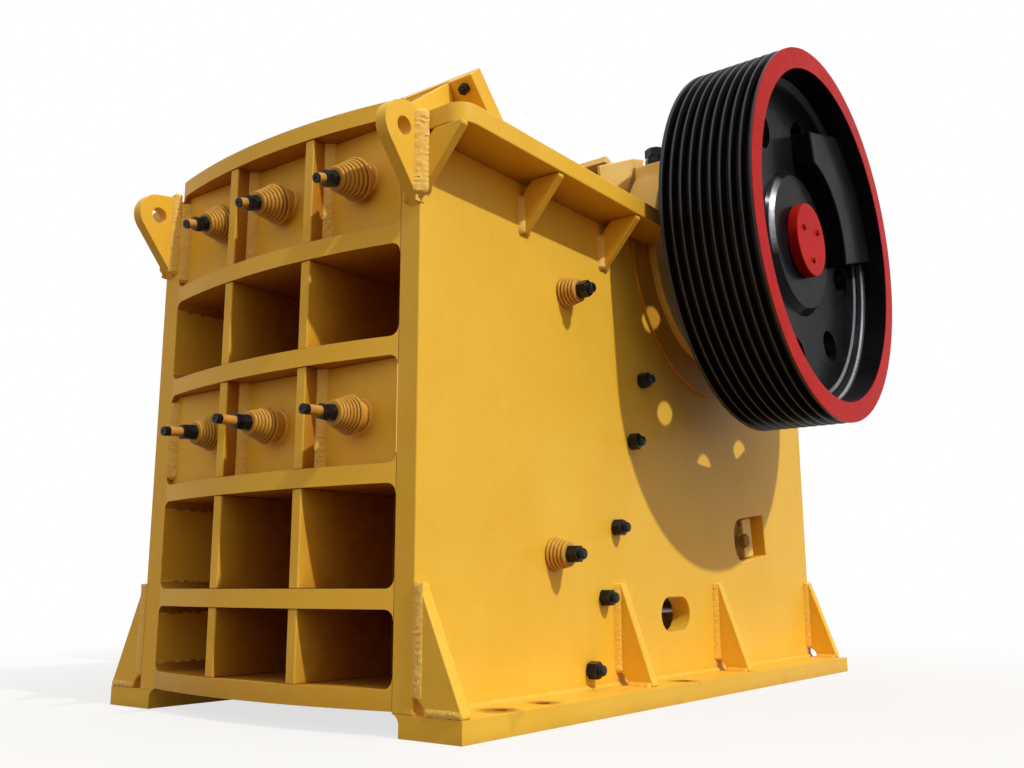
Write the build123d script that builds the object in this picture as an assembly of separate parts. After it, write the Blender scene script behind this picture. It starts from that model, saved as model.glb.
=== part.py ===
from build123d import *
import math
import os

os.makedirs("parts", exist_ok=True)

# Millimetres. X runs from the curved front to the discharge side, Y across, Z up.
# Side frames
overall_width = 1200.0
wall_thickness = 75.0
frame_length = 2705.0
rear_drop = 385.0
rear_slope_margin = 80.0
base_thickness = 60.0
base_outreach = 165.0
base_setback = 25.0
flange_rise = 16.0
flange_thickness = 60.0
flange_outreach = 156.0
flange_corner = 60.0
# Anchor holes in the base rails
anchor_hole_radius = 21.0
anchor_outreach = 105.0
anchor_first = 230.0
anchor_pair_spacing = 195.0
anchor_third = 1260.0
# Gussets
base_gusset_thickness = 38.0
base_gusset_height = 335.0
base_gusset_outreach = 130.0
base_gusset_relief = 40.0
base_gusset_shares = (0.0, 0.375, 0.65, 1.0)
flange_gusset_thickness = 28.0
flange_gusset_height = 170.0
flange_gusset_outreach = 150.0
flange_gusset_relief = 47.0
flange_gusset_pitch = 472.0
gusset_tip = 13.0
# Wall openings
slot_length = 214.0
slot_height = 122.0
slot_from_front = 1417.0
slot_centre_height = 280.0
window_length = 300.0
window_height = 175.0
window_corner = 70.0
window_from_end = 615.0
window_centre_height = 578.0
window_tilt = 7.0
# Curved front
grid_rise = 68.0
rib_thickness = 54.0
rib_top_shares = (1.0, 0.7835, 0.6007, 0.401, 0.212, 0.0667)
rib_bulge = 60.0
grid_depth = 330.0
cell_corner = 28.0
arch_corner = 28.0
web_thickness = 38.0
web_recess = 2.5
tie_plate_front = 20.0
tie_plate_thickness = 50.0
tie_row_count = 2
# Fixed jaw
front_wall_thickness = 75.0
jaw_plate_thickness = 112.0
tooth_depth = 38.0
tooth_pitch = 95.0
tooth_flank_share = 0.25
fixed_jaw_bottom = 330.0
fixed_jaw_drop = 25.0
cheek_thickness = 40.0
cheek_bottom = 80.0
cheek_drop = 65.0
cheek_split = 8.0
cheek_overlap = 80.0
# Swing jaw
jaw_lean = 18.4
jaw_crown_rise = 220.0
jaw_crown_setback = 384.0
jaw_toe_height = 330.0
jaw_sole_height = 225.0
jaw_back_share = 0.5646
jaw_waist_rise = 150.0
jaw_head_radius = 330.0
jaw_side_gap = 10.0
jaw_plate_rise = 41.0
jaw_clamp_height = 30.0
jaw_clamp_outreach = 40.0
jaw_guard_setback = 28.0
jaw_guard_height = 169.0
jaw_guard_thickness = 93.0
tail_lug_thickness = 32.0
tail_lug_radius = 50.0
tail_pin_radius = 26.0
# Shaft and bearings
shaft_from_front = 1709.0
shaft_height = 1699.0
eccentric_radius = 165.0
journal_radius = 132.0
hub_seat_radius = 114.0
running_clearance = 0.05
housing_radius = 440.0
housing_outreach = 40.0
housing_inreach = 25.0
ring_width = 120.0
ring_thickness = 12.0
cap_bolt_offset = 279.0
cap_bolt_radius = 24.0
cap_boss_width = 110.0
cap_nut_flats = 75.0
cap_nut_height = 74.0
cap_bolt_end = 6.0
# Belt pulley and flywheel
wheel_radius = 721.0
wheel_width = 350.0
wheel_gap = 216.0
rim_thickness = 78.0
rim_recess = 100.0
rim_step = 39.0
rim_step_depth = 26.0
web_plate = 45.0
web_dish = 20.0
hub_base_radius = 290.0
hub_face_radius = 262.0
hub_face_recess = 119.0
hub_cap_radius = 144.0
hub_cap_thickness = 41.0
groove_count = 9
groove_pitch = 37.0
groove_depth = 27.0
groove_land = 5.0
groove_floor = 12.0
web_hole_count = 8
web_hole_radius = 65.0
web_hole_circle = 462.0
web_hole_turn = 38.0
weight_depth = 39.0
weight_inner_radius = 330.0
weight_turn = 16.0
weight_back = 126.0
weight_low = 110.0
weight_high = 430.0
# Toggle, rear beam and return spring
toggle_thickness = 60.0
toggle_half_width = 300.0
toggle_block_length = 287.0
toggle_block_height = 190.0
shim_thicknesses = (60.0, 24.0)
shim_from_window = 4.0
shim_gap = 6.0
shim_recess = 30.0
block_tongue_length = 100.0
block_tongue_recess = 45.0
beam_plate = 60.0
beam_bottom = 365.0
beam_top = 900.0
seat_clearance = 0.3
rod_radius = 25.0
rod_end_length = 240.0
rod_bracket_thickness = 40.0
rod_bracket_drop = 130.0
rod_nut_flats = 80.0
rod_nut_length = 40.0
spring_radius = 72.0
spring_length = 170.0
# Lifting lugs
lug_thickness = 40.0
lug_nose_radius = 75.0
lug_reach = 70.0
lug_eye_drop = 66.0
lug_eye_radius = 27.5
lug_tip_drop = 275.0
lug_top_rise = 20.0
# Feed lip
lip_thickness = 65.0
lip_length = 320.0
lip_slope = 47.3
lip_edge_rise = 209.0
lip_edge_from_front = 313.0
lip_side_gap = 5.0
lip_support_inset = 98.0
lip_support_thickness = 26.0
# Spring tie bolts of the front
tie_rod_radius = 15.0
tie_nut_flats = 50.0
tie_nut_length = 26.0
tie_spring_radius = 62.0
tie_seat_radius = 54.0
tie_seat_thickness = 20.0
tie_spring_tip_radius = 34.0
tie_spring_length = 96.0
tie_rod_lengths = (206.0, 220.0)
tie_tilts = (16.0, 0.0)
tie_place_shares = (-0.682, 0.0, 0.524)
tie_height_shares = (0.42, 0.505)
# Bolts on the side walls
side_spring_radius = 51.5
side_spring_tip_radius = 40.0
side_spring_length = 60.0
side_place_shares = ((0.2647, 0.7831), (0.2359, 0.2799))
wall_nut_flats = 50.0
wall_nut_length = 37.0
wall_bolt_radius = 18.0
wall_bolt_end = 19.0
cheek_bolt_shares = ((0.4447, 0.6536), (0.4152, 0.5166), (0.3708, 0.337), (0.3397, 0.2012), (0.3076, 0.0694))
# One overrun for every cut
cut_overrun = 20.0

half_width = overall_width / 2
inner_half = half_width - wall_thickness
flange_height = shaft_height + flange_rise
wall_top = flange_height - flange_thickness
rear_height = wall_top - rear_drop
window_from_front = frame_length - window_from_end
jaw_back_from_front = jaw_back_share * window_from_front
origin_shift = anchor_first + anchor_pair_spacing / 2
grid_top = flange_height + grid_rise
grid_radius = (inner_half ** 2 + rib_bulge ** 2) / (2 * rib_bulge)
web_place = (2 * inner_half + web_thickness) / 6
front_wall_back = grid_depth + front_wall_thickness
jaw_half = inner_half - cheek_thickness - jaw_side_gap
jaw_crown_height = shaft_height + jaw_crown_rise
jaw_crown_from_front = shaft_from_front - jaw_crown_setback
jaw_plate_top = jaw_crown_height + jaw_plate_rise
shim_end = shim_from_window + sum(shim_thicknesses)
shim_height = window_height - 2 * shim_gap
block_lead = (toggle_block_length - shim_from_window) * math.cos(math.radians(window_tilt))
toggle_block_from_front = window_from_front - block_lead
ring_radius = housing_radius + ring_width
lug_eye_height = flange_height - lug_eye_drop
lug_tip_height = flange_height - lug_tip_drop
lug_top_height = flange_height + lug_top_rise
lip_edge_height = grid_top + lip_edge_rise
wheel_back = half_width + wheel_gap
wheel_face = wheel_back + wheel_width


def block(x_low, x_high, y_low, y_high, z_low, z_high):
    middle = Pos((x_low + x_high) / 2, (y_low + y_high) / 2, (z_low + z_high) / 2)
    return middle * Box(x_high - x_low, y_high - y_low, z_high - z_low)


def side_profile(points, y_low, y_high):
    outline = Wire.make_polygon([(x, y_low, z) for x, z in points], close=True)
    return extrude(Face(outline), amount=y_high - y_low, dir=(0, 1, 0))


def cross_profile(points, x_low, x_high):
    outline = Wire.make_polygon([(x_low, y, z) for y, z in points], close=True)
    return extrude(Face(outline), amount=x_high - x_low, dir=(1, 0, 0))


def cross_bar(x, z, radius, y_low, y_high):
    return Pos(x, (y_low + y_high) / 2, z) * Rot(90, 0, 0) * Cylinder(radius, y_high - y_low)


def long_bar(x_low, x_high, z, radius):
    return Pos((x_low + x_high) / 2, 0, z) * Rot(0, 90, 0) * Cylinder(radius, x_high - x_low)


def hex_bar(flats, length):
    return extrude(RegularPolygon(flats / 2, 6, major_radius=False), amount=length)


def turned(points):
    outline = Wire.make_polygon([(r, y, 0) for r, y in points], close=True)
    return revolve(Face(outline), axis=Axis.Y)


def far_copy(shape):
    return mirror(shape, about=Plane.XZ)


def both_sides(shapes):
    return shapes + [far_copy(shape) for shape in shapes]


# The front is a lattice of flat ribs whose front edges share one arc
def rib_tops():
    return [grid_top * share for share in rib_top_shares]


def row_span(row):
    tops = rib_tops()
    return tops[row + 1], tops[row] - rib_thickness


# Every second row from the top carries tie bolts
def tie_rows():
    return [2 * place for place in range(tie_row_count)]


def row_back(row):
    return tie_plate_front if row in tie_rows() else grid_depth


def arc_column(z_low, z_high):
    centre = Pos(grid_radius - rib_bulge, 0, (z_low + z_high) / 2)
    return centre * Cylinder(grid_radius, z_high - z_low)


def cell_corners(z, direction, depth, radius):
    pieces = []
    z_in = z + direction * radius
    for side in (-1, 1):
        y_edge = side * inner_half
        y_in = side * (inner_half - radius)
        square = block(-rib_bulge, depth, min(y_edge, y_in), max(y_edge, y_in), min(z, z_in), max(z, z_in))
        rounding = Pos(0, y_in, z_in) * Rot(0, 90, 0) * Cylinder(radius, 2 * grid_depth + cut_overrun)
        pieces.append(square - rounding)
    return pieces


def front_ribs():
    tops = rib_tops()
    ribs = []
    for place, top in enumerate(tops):
        low = top - rib_thickness
        rib = block(-rib_bulge, grid_depth, -inner_half, inner_half, low, top)
        corners = []
        if place + 1 < len(tops):
            corners += cell_corners(low, -1, row_back(place), cell_corner)
        if place > 0:
            corners += cell_corners(top, 1, row_back(place - 1), cell_corner)
        for corner in corners:
            rib += corner
        ribs.append(rib & arc_column(low - cell_corner, top + cell_corner))
    return ribs


def front_webs():
    start = grid_radius - rib_bulge + web_recess
    start -= math.sqrt(grid_radius ** 2 - (web_place + web_thickness / 2) ** 2)
    webs = []
    for row in range(len(rib_top_shares) - 1):
        z_low, z_high = row_span(row)
        for side in (-1, 1):
            near_face = side * web_place - web_thickness / 2
            webs.append(block(start, row_back(row), near_face, near_face + web_thickness, z_low, z_high))
    return webs


def tie_plates():
    plates = []
    for row in tie_rows():
        z_low, z_high = row_span(row)
        back = tie_plate_front + tie_plate_thickness
        plates.append(block(tie_plate_front, back, -inner_half, inner_half, z_low, z_high))
    return plates


def front_wall():
    low = rib_tops()[-1] - rib_thickness
    return [block(grid_depth, front_wall_back, -inner_half, inner_half, low, grid_top)]


# Jaw plates carry upright teeth
def toothed_plate(length):
    count = int(2 * jaw_half / tooth_pitch)
    step = 2 * jaw_half / count
    flank = step * tooth_flank_share
    root = jaw_plate_thickness - tooth_depth
    points = [(0, -jaw_half)]
    for tooth in range(count):
        left = -jaw_half + tooth * step
        points += [(root, left), (jaw_plate_thickness, left + flank)]
        points += [(jaw_plate_thickness, left + 2 * flank), (root, left + 3 * flank)]
    points += [(root, jaw_half), (0, jaw_half)]
    outline = Wire.make_polygon([(x, y, 0) for x, y in points], close=True)
    return extrude(Face(outline), amount=length)


def fixed_jaw_plate():
    length = flange_height - fixed_jaw_drop - fixed_jaw_bottom
    return [Pos(front_wall_back, 0, fixed_jaw_bottom) * toothed_plate(length)]


def jaw_line(z):
    return jaw_crown_from_front - (jaw_crown_height - z) * math.tan(math.radians(jaw_lean))


def swing_jaw_plate():
    length = (jaw_plate_top - jaw_toe_height) / math.cos(math.radians(jaw_lean))
    place = Pos(jaw_line(jaw_toe_height), 0, jaw_toe_height) * Rot(0, jaw_lean, 0) * Rot(0, 0, 180)
    return [place * toothed_plate(length)]


def jaw_clamp_bar():
    foot = Pos(jaw_line(jaw_plate_top), 0, jaw_plate_top) * Rot(0, jaw_lean, 0)
    reach = jaw_plate_thickness + jaw_clamp_outreach
    return [foot * block(-reach, 0, -jaw_half, jaw_half, 0, jaw_clamp_height)]


def crown_slope():
    run = shaft_from_front - jaw_crown_from_front
    return (shaft_height + jaw_head_radius - jaw_crown_height) / run


def jaw_guard():
    low = jaw_crown_height + jaw_guard_setback * crown_slope()
    start = jaw_crown_from_front + jaw_guard_setback
    lean = jaw_guard_height * math.tan(math.radians(jaw_lean))
    rise = jaw_guard_thickness * crown_slope()
    points = [
        (start, low),
        (start + lean, low + jaw_guard_height),
        (start + lean + jaw_guard_thickness, low + jaw_guard_height + rise),
        (start + jaw_guard_thickness, low + rise),
    ]
    return [side_profile(points, -jaw_half, jaw_half)]


def toggle_height(x):
    return window_centre_height + (x - window_from_front) * math.tan(math.radians(window_tilt))


def swing_jaw():
    seat_height = toggle_height(jaw_back_from_front)
    waist = seat_height + jaw_waist_rise
    points = [
        (jaw_line(jaw_crown_height), jaw_crown_height),
        (jaw_line(jaw_toe_height), jaw_toe_height),
        (jaw_line(jaw_toe_height) + jaw_plate_thickness, jaw_sole_height),
        (jaw_back_from_front, jaw_sole_height),
        (jaw_back_from_front, waist),
        (shaft_from_front + jaw_head_radius, shaft_height),
        (shaft_from_front, shaft_height + jaw_head_radius),
    ]
    body = side_profile(points, -jaw_half, jaw_half)
    body += cross_bar(shaft_from_front, shaft_height, jaw_head_radius, -jaw_half, jaw_half)
    bore = eccentric_radius + running_clearance
    reach = jaw_half + cut_overrun
    body -= cross_bar(shaft_from_front, shaft_height, bore, -reach, reach)
    groove = toggle_thickness / 2 + seat_clearance
    reach = toggle_half_width + seat_clearance
    body -= cross_bar(jaw_back_from_front, seat_height, groove, -reach, reach)
    for lug in tail_lugs():
        body += lug
    return [body]


# A pinned fork on the jaw's back takes the tension rod, level with the slots
def tail_lugs():
    lugs = []
    for side in (-1, 1):
        middle = side * (rod_radius + seat_clearance + tail_lug_thickness / 2)
        low = middle - tail_lug_thickness / 2
        high = middle + tail_lug_thickness / 2
        z_low = slot_centre_height - tail_lug_radius
        z_high = slot_centre_height + tail_lug_radius
        lug = block(jaw_back_from_front, slot_from_front, low, high, z_low, z_high)
        lug += cross_bar(slot_from_front, slot_centre_height, tail_lug_radius, low, high)
        lugs.append(lug)
    reach = rod_radius + seat_clearance + tail_lug_thickness + tail_pin_radius
    lugs.append(cross_bar(slot_from_front, slot_centre_height, tail_pin_radius, -reach, reach))
    return lugs


def cheek_plates():
    cheek_top = flange_height - cheek_drop
    low_end = jaw_line(cheek_bottom) + cheek_overlap
    high_end = jaw_line(cheek_top) + cheek_overlap
    points = [
        (front_wall_back, cheek_bottom),
        (low_end, cheek_bottom),
        (high_end, cheek_top),
        (front_wall_back, cheek_top),
    ]
    inner = -inner_half + cheek_thickness
    plate = side_profile(points, -inner_half, inner)
    housing = housing_radius + seat_clearance
    plate -= cross_bar(shaft_from_front, shaft_height, housing, -half_width, inner + cut_overrun)
    middle = (cheek_bottom + cheek_top) / 2
    split = block(0, frame_length, -half_width, 0, middle - cheek_split / 2, middle + cheek_split / 2)
    return list((plate - split).solids())


# Side walls, rails and flanges
def wall_cut(sketch, x, z, tilt):
    lean = math.radians(tilt)
    origin = (x, -half_width - cut_overrun, z)
    plane = Plane(origin=origin, x_dir=(math.cos(lean), 0, math.sin(lean)), z_dir=(0, -1, 0))
    return plane * extrude(sketch, amount=-wall_thickness - 2 * cut_overrun)


def side_wall():
    points = [
        (0, base_thickness),
        (frame_length, base_thickness),
        (frame_length, rear_height),
        (shaft_from_front + housing_radius + rear_slope_margin, wall_top),
        (0, wall_top),
    ]
    wall = side_profile(points, -half_width, -inner_half)
    y_low = -half_width - cut_overrun
    wall -= cross_bar(shaft_from_front, shaft_height, housing_radius, y_low, -inner_half + cut_overrun)
    wall -= wall_cut(SlotOverall(slot_length, slot_height), slot_from_front, slot_centre_height, 0)
    window = Rectangle(window_length, window_height)
    window = fillet(window.vertices().group_by(Axis.X)[0], radius=window_corner)
    return wall - wall_cut(window, window_from_front, window_centre_height, window_tilt)


def arch_foot(edge):
    low = base_thickness - arch_corner
    square = block(0, grid_depth, edge, edge + arch_corner, low, base_thickness)
    return square - Pos(0, edge + arch_corner, low) * Rot(0, 90, 0) * Cylinder(arch_corner, 3 * grid_depth)


def base_rail():
    edge = -inner_half - base_setback
    rail = block(0, frame_length, -half_width - base_outreach, edge, 0, base_thickness)
    rail += arch_foot(edge)
    places = (anchor_first, anchor_first + anchor_pair_spacing, anchor_third)
    for place in places:
        hole = Pos(place, -half_width - anchor_outreach, base_thickness / 2)
        rail -= hole * Cylinder(anchor_hole_radius, base_thickness + cut_overrun)
    return rail


def top_flange():
    drop = shaft_height - wall_top
    length = shaft_from_front - math.sqrt(housing_radius ** 2 - drop ** 2)
    outer = -half_width - flange_outreach
    flange = block(0, length, outer, -inner_half, wall_top, flange_height)
    corner = flange.edges().filter_by(Axis.Z).sort_by_distance((0, outer, wall_top))[0]
    flange = fillet(corner, radius=flange_corner)
    reach = flange_outreach + cut_overrun
    housing = cross_bar(shaft_from_front, shaft_height, housing_radius + seat_clearance, -half_width - reach, 0)
    return flange - housing


def base_gussets():
    foot = -half_width - base_gusset_outreach
    top = base_thickness + base_gusset_height
    points = [
        (-half_width, base_thickness),
        (foot, base_thickness),
        (foot, base_thickness + gusset_tip),
        (-half_width - gusset_tip, top),
        (-half_width, top),
    ]
    gussets = []
    for share in base_gusset_shares:
        start = share * (frame_length - base_gusset_thickness)
        gusset = cross_profile(points, start, start + base_gusset_thickness)
        relief = Pos(start, -half_width, base_thickness) * Rot(0, 90, 0)
        gusset -= relief * Cylinder(base_gusset_relief, 2 * base_gusset_thickness + cut_overrun)
        gussets.append(gusset)
    return gussets


def flange_gussets():
    outer = -half_width - flange_gusset_outreach
    low = wall_top - flange_gusset_height
    points = [
        (-half_width - flange_gusset_relief, wall_top),
        (outer, wall_top),
        (outer, wall_top - gusset_tip),
        (-half_width - gusset_tip, low),
        (-half_width, low),
        (-half_width, wall_top - flange_gusset_relief),
    ]
    starts = [place * flange_gusset_pitch for place in range(3)]
    return [cross_profile(points, start, start + flange_gusset_thickness) for start in starts]


def tangent_point(x, z, side):
    dx = x + lug_reach
    dz = z - lug_eye_height
    turn = math.atan2(dz, dx) + side * math.acos(lug_nose_radius / math.hypot(dx, dz))
    return -lug_reach + lug_nose_radius * math.cos(turn), lug_eye_height + lug_nose_radius * math.sin(turn)


def lifting_lug():
    inner = -half_width + lug_thickness
    points = [
        (0, lug_tip_height),
        tangent_point(0, lug_tip_height, -1),
        tangent_point(0, lug_top_height, 1),
        (0, lug_top_height),
    ]
    lug = side_profile(points, -half_width, inner)
    lug += cross_bar(-lug_reach, lug_eye_height, lug_nose_radius, -half_width, inner)
    lug -= block(0, lug_nose_radius, -half_width, inner, lug_tip_height, lug_top_height)
    eye_reach = half_width + cut_overrun
    return lug - cross_bar(-lug_reach, lug_eye_height, lug_eye_radius, -eye_reach, inner + cut_overrun)


# Bearings, shaft and wheels
def housing_disc(outer, inner, y_low, y_high):
    disc = cross_bar(shaft_from_front, shaft_height, outer, y_low, y_high)
    return disc - cross_bar(shaft_from_front, shaft_height, inner, y_low - cut_overrun, y_high + cut_overrun)


def cap_bolt_seat():
    return shaft_height + math.sqrt(housing_radius ** 2 - cap_bolt_offset ** 2)


def bearing_parts():
    y_low = -half_width - housing_outreach
    y_high = -inner_half + housing_inreach
    whole = housing_disc(housing_radius, journal_radius + running_clearance, y_low, y_high)
    x_low = shaft_from_front - housing_radius
    x_high = shaft_from_front + housing_radius
    top = shaft_height + housing_radius
    lower = block(x_low, x_high, y_low, y_high, shaft_height - housing_radius, shaft_height)
    cap = whole & block(x_low, x_high, y_low, y_high, shaft_height, top)
    for side in (-1, 1):
        x = shaft_from_front + side * cap_bolt_offset
        low = x - cap_boss_width / 2
        high = x + cap_boss_width / 2
        cap += block(low, high, y_low, y_high, shaft_height, cap_bolt_seat())
        cap -= block(low, high, y_low, y_high, cap_bolt_seat(), top)
    return whole & lower, cap


def cap_bolts():
    y = (housing_inreach - housing_outreach - half_width - inner_half) / 2
    bolts = []
    for side in (-1, 1):
        bolt = hex_bar(cap_nut_flats, cap_nut_height)
        bolt += extrude(Circle(cap_bolt_radius), amount=cap_nut_height + cap_bolt_end)
        bolts.append(Pos(shaft_from_front + side * cap_bolt_offset, y, cap_bolt_seat()) * bolt)
    return bolts


def bearing_ring():
    y_low = -half_width - ring_thickness
    ring = housing_disc(ring_radius, housing_radius, y_low, -half_width)
    x_low = shaft_from_front - ring_radius
    x_high = shaft_from_front + ring_radius
    return ring & block(x_low, x_high, y_low, -half_width, shaft_height - ring_radius, wall_top)


def eccentric_shaft():
    hub_face = wheel_face - hub_face_recess
    shaft = cross_bar(shaft_from_front, shaft_height, eccentric_radius, -jaw_half, jaw_half)
    shaft += cross_bar(shaft_from_front, shaft_height, journal_radius, -wheel_back, wheel_back)
    shaft += cross_bar(shaft_from_front, shaft_height, hub_seat_radius, -hub_face, hub_face)
    return [shaft]


def groove_points():
    start = -wheel_back - (wheel_width - groove_pitch * groove_count) / 2
    root = wheel_radius - groove_depth
    flank = (groove_pitch - groove_land - groove_floor) / 2
    points = []
    for groove in range(groove_count):
        edge = start - groove * groove_pitch - groove_land / 2
        points += [(wheel_radius, edge), (root, edge - flank), (root, edge - flank - groove_floor)]
        points += [(wheel_radius, edge - groove_pitch + groove_land)]
    return points


def wheel_outline(outer_points):
    inner_rim = wheel_radius - rim_thickness
    step_radius = inner_rim - rim_step
    step = wheel_face - rim_recess
    web_front = step - rim_step_depth
    hub_front = wheel_face - hub_face_recess
    web_foot = web_front - web_dish
    front = [
        (inner_rim, -wheel_face),
        (inner_rim, -step),
        (step_radius, -web_front),
        (hub_base_radius, -web_foot),
        (hub_face_radius, -hub_front),
        (hub_seat_radius, -hub_front),
    ]
    back = [
        (hub_seat_radius, -wheel_back),
        (hub_face_radius, -wheel_back),
        (hub_base_radius, -(web_foot - web_plate)),
        (step_radius, -(web_front - web_plate)),
        (inner_rim, -(web_front - web_plate - rim_step_depth)),
        (inner_rim, -wheel_back),
    ]
    return [(wheel_radius, -wheel_back)] + outer_points + [(wheel_radius, -wheel_face)] + front + back


def wheel(outer_points):
    body = turned(wheel_outline(outer_points))
    for hole in range(web_hole_count):
        turn = math.radians(web_hole_turn + hole * 360 / web_hole_count)
        x = web_hole_circle * math.cos(turn)
        z = web_hole_circle * math.sin(turn)
        body -= cross_bar(x, z, web_hole_radius, -wheel_face, -wheel_back)
    return Pos(shaft_from_front, 0, shaft_height) * body


# A cast segment balances the shaft's throw inside each rim
def counterweight():
    inner_rim = wheel_radius - rim_thickness
    step_radius = inner_rim - rim_step
    step = wheel_face - rim_recess + seat_clearance
    web_front = step - rim_step_depth
    rise = web_dish * (step_radius - weight_inner_radius) / (step_radius - hub_base_radius)
    y_low = -step - weight_depth
    points = [
        (weight_inner_radius, -web_front + rise),
        (step_radius, -web_front),
        (inner_rim - seat_clearance, -step),
        (inner_rim - seat_clearance, y_low),
        (weight_inner_radius, y_low),
    ]
    segment = turned(points) & block(weight_back, inner_rim, y_low, 0, -weight_low, weight_high)
    return Pos(shaft_from_front, 0, shaft_height) * Rot(0, -weight_turn, 0) * segment


def hub_cap():
    low = wheel_face - hub_face_recess
    return cross_bar(shaft_from_front, shaft_height, hub_cap_radius, -low - hub_cap_thickness, -low)


# Toggle, rear beam and return spring
def toggle_plate():
    lean = math.radians(window_tilt)
    radius = toggle_thickness / 2
    dx = radius * math.sin(lean)
    dz = radius * math.cos(lean)
    ends = [(x, toggle_height(x)) for x in (jaw_back_from_front, toggle_block_from_front)]
    points = [
        (ends[0][0] - dx, ends[0][1] + dz),
        (ends[1][0] - dx, ends[1][1] + dz),
        (ends[1][0] + dx, ends[1][1] - dz),
        (ends[0][0] + dx, ends[0][1] - dz),
    ]
    plate = side_profile(points, -toggle_half_width, toggle_half_width)
    for x, z in ends:
        plate += cross_bar(x, z, radius, -toggle_half_width, toggle_half_width)
    return [plate]


# A block whose length runs along the windows' slant
def slanted(x_low, x_high, half_span, height):
    bar = block(x_low, x_high, -half_span, half_span, -height / 2, height / 2)
    return Pos(window_from_front, 0, window_centre_height) * Rot(0, -window_tilt, 0) * bar


# The block's ends reach into the windows, between the wall's faces
def toggle_block():
    back = shim_from_window
    body = slanted(back - toggle_block_length, back, inner_half - seat_clearance, toggle_block_height)
    tongue_half = half_width - block_tongue_recess
    body += slanted(back - block_tongue_length, back, tongue_half, shim_height)
    groove = toggle_thickness / 2 + seat_clearance
    reach = toggle_half_width + seat_clearance
    seat_height = toggle_height(toggle_block_from_front)
    return [body - cross_bar(toggle_block_from_front, seat_height, groove, -reach, reach)]


def shim_plates():
    plates = []
    start = shim_from_window
    for thickness in shim_thicknesses:
        plates.append(slanted(start, start + thickness, half_width - shim_recess, shim_height))
        start += thickness
    return plates


# The shims' back face carries on as the beam's front face
def beam_front(z):
    lean = math.radians(window_tilt)
    return window_from_front + shim_end / math.cos(lean) - (z - window_centre_height) * math.tan(lean)


def beam_section(wall):
    low = beam_bottom + wall
    high = beam_top - wall
    back = frame_length - wall
    points = [(beam_front(low) + wall, low), (back, low), (back, high), (beam_front(high) + wall, high)]
    return side_profile(points, -inner_half, inner_half)


def rear_beam():
    return [beam_section(0) - beam_section(beam_plate)]


def rod_bracket():
    start = frame_length - rod_bracket_thickness
    low = slot_centre_height - rod_bracket_drop
    bracket = block(start, frame_length, -inner_half, inner_half, low, beam_bottom)
    hole = rod_radius + seat_clearance
    return [bracket - long_bar(start - cut_overrun, frame_length + cut_overrun, slot_centre_height, hole)]


def tension_rod():
    end = frame_length + rod_end_length
    rod = long_bar(slot_from_front, end, slot_centre_height, rod_radius)
    rod += cross_bar(slot_from_front, slot_centre_height, tail_lug_radius, -rod_radius, rod_radius)
    reach = rod_radius + cut_overrun
    hole = tail_pin_radius + seat_clearance
    rod -= cross_bar(slot_from_front, slot_centre_height, hole, -reach, reach)
    nut = Rot(0, 90, 0) * hex_bar(rod_nut_flats, rod_nut_length)
    return [rod + Pos(frame_length + spring_length, 0, slot_centre_height) * nut]


def tension_spring():
    end = frame_length + spring_length
    tube = long_bar(frame_length, end, slot_centre_height, spring_radius)
    hole = rod_radius + seat_clearance
    return [tube - long_bar(frame_length - cut_overrun, end + cut_overrun, slot_centre_height, hole)]


# Feed lip on the front's top rib
def lip_under(x):
    return lip_edge_height - (x - lip_edge_from_front) * math.tan(math.radians(lip_slope))


def feed_lip():
    slope = math.radians(lip_slope)
    along = (lip_length * math.cos(slope), -lip_length * math.sin(slope))
    across = (lip_thickness * math.sin(slope), lip_thickness * math.cos(slope))
    half = inner_half - lip_side_gap
    x = lip_edge_from_front
    z = lip_edge_height
    points = [
        (x, z),
        (x + along[0], z + along[1]),
        (x + along[0] + across[0], z + along[1] + across[1]),
        (x + across[0], z + across[1]),
    ]
    return [side_profile(points, -half, half)]


def lip_supports():
    half = inner_half - lip_support_inset
    front = lip_edge_from_front
    back = front + lip_support_thickness
    upright = [(front, grid_top), (back, grid_top), (back, lip_under(back)), (front, lip_edge_height)]
    pieces = [side_profile(upright, -half, half)]
    fin = [(0, grid_top), (front, grid_top), (front, lip_edge_height)]
    for near_face in (-half, half - lip_support_thickness):
        pieces.append(side_profile(fin, near_face, near_face + lip_support_thickness))
    return pieces


# Spring tie bolts
def tie_places():
    places = []
    for row, share, tilt, length in zip(tie_rows(), tie_height_shares, tie_tilts, tie_rod_lengths):
        low, high = row_span(row)
        for place in tie_place_shares:
            spot = Pos(tie_plate_front, place * inner_half, high - (high - low) * share)
            places.append((spot * Rot(0, -90 - tilt, 0), length))
    return places


def front_of_plates():
    return block(-frame_length, tie_plate_front, -half_width, half_width, 0, grid_top)


def front_tie_bolts():
    bolts = []
    for place, length in tie_places():
        bolt = extrude(Circle(tie_rod_radius), amount=length - tie_spring_length)
        bolt += hex_bar(tie_nut_flats, 2 * tie_nut_length)
        bolts.append(place * Pos(0, 0, tie_spring_length) * bolt)
    return bolts


def front_tie_springs():
    points = [
        (0, -tie_seat_thickness),
        (tie_seat_radius, -tie_seat_thickness),
        (tie_seat_radius, tie_seat_thickness),
        (tie_spring_radius, tie_seat_thickness),
        (tie_spring_tip_radius, tie_spring_length),
        (0, tie_spring_length),
    ]
    outline = Wire.make_polygon([(r, 0, z) for r, z in points], close=True)
    spring = revolve(Face(outline), axis=Axis.Z)
    return [(place * spring) & front_of_plates() for place, length in tie_places()]


def wall_bolt(place_share, height_share, stand):
    bolt = extrude(Circle(wall_bolt_radius), amount=wall_nut_length + wall_bolt_end)
    bolt += hex_bar(wall_nut_flats, wall_nut_length)
    spot = Pos(place_share * frame_length, -half_width - stand, height_share * flange_height)
    return spot * Rot(90, 0, 0) * bolt


def cheek_bolts():
    return [wall_bolt(x, z, 0) for x, z in cheek_bolt_shares]


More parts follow.
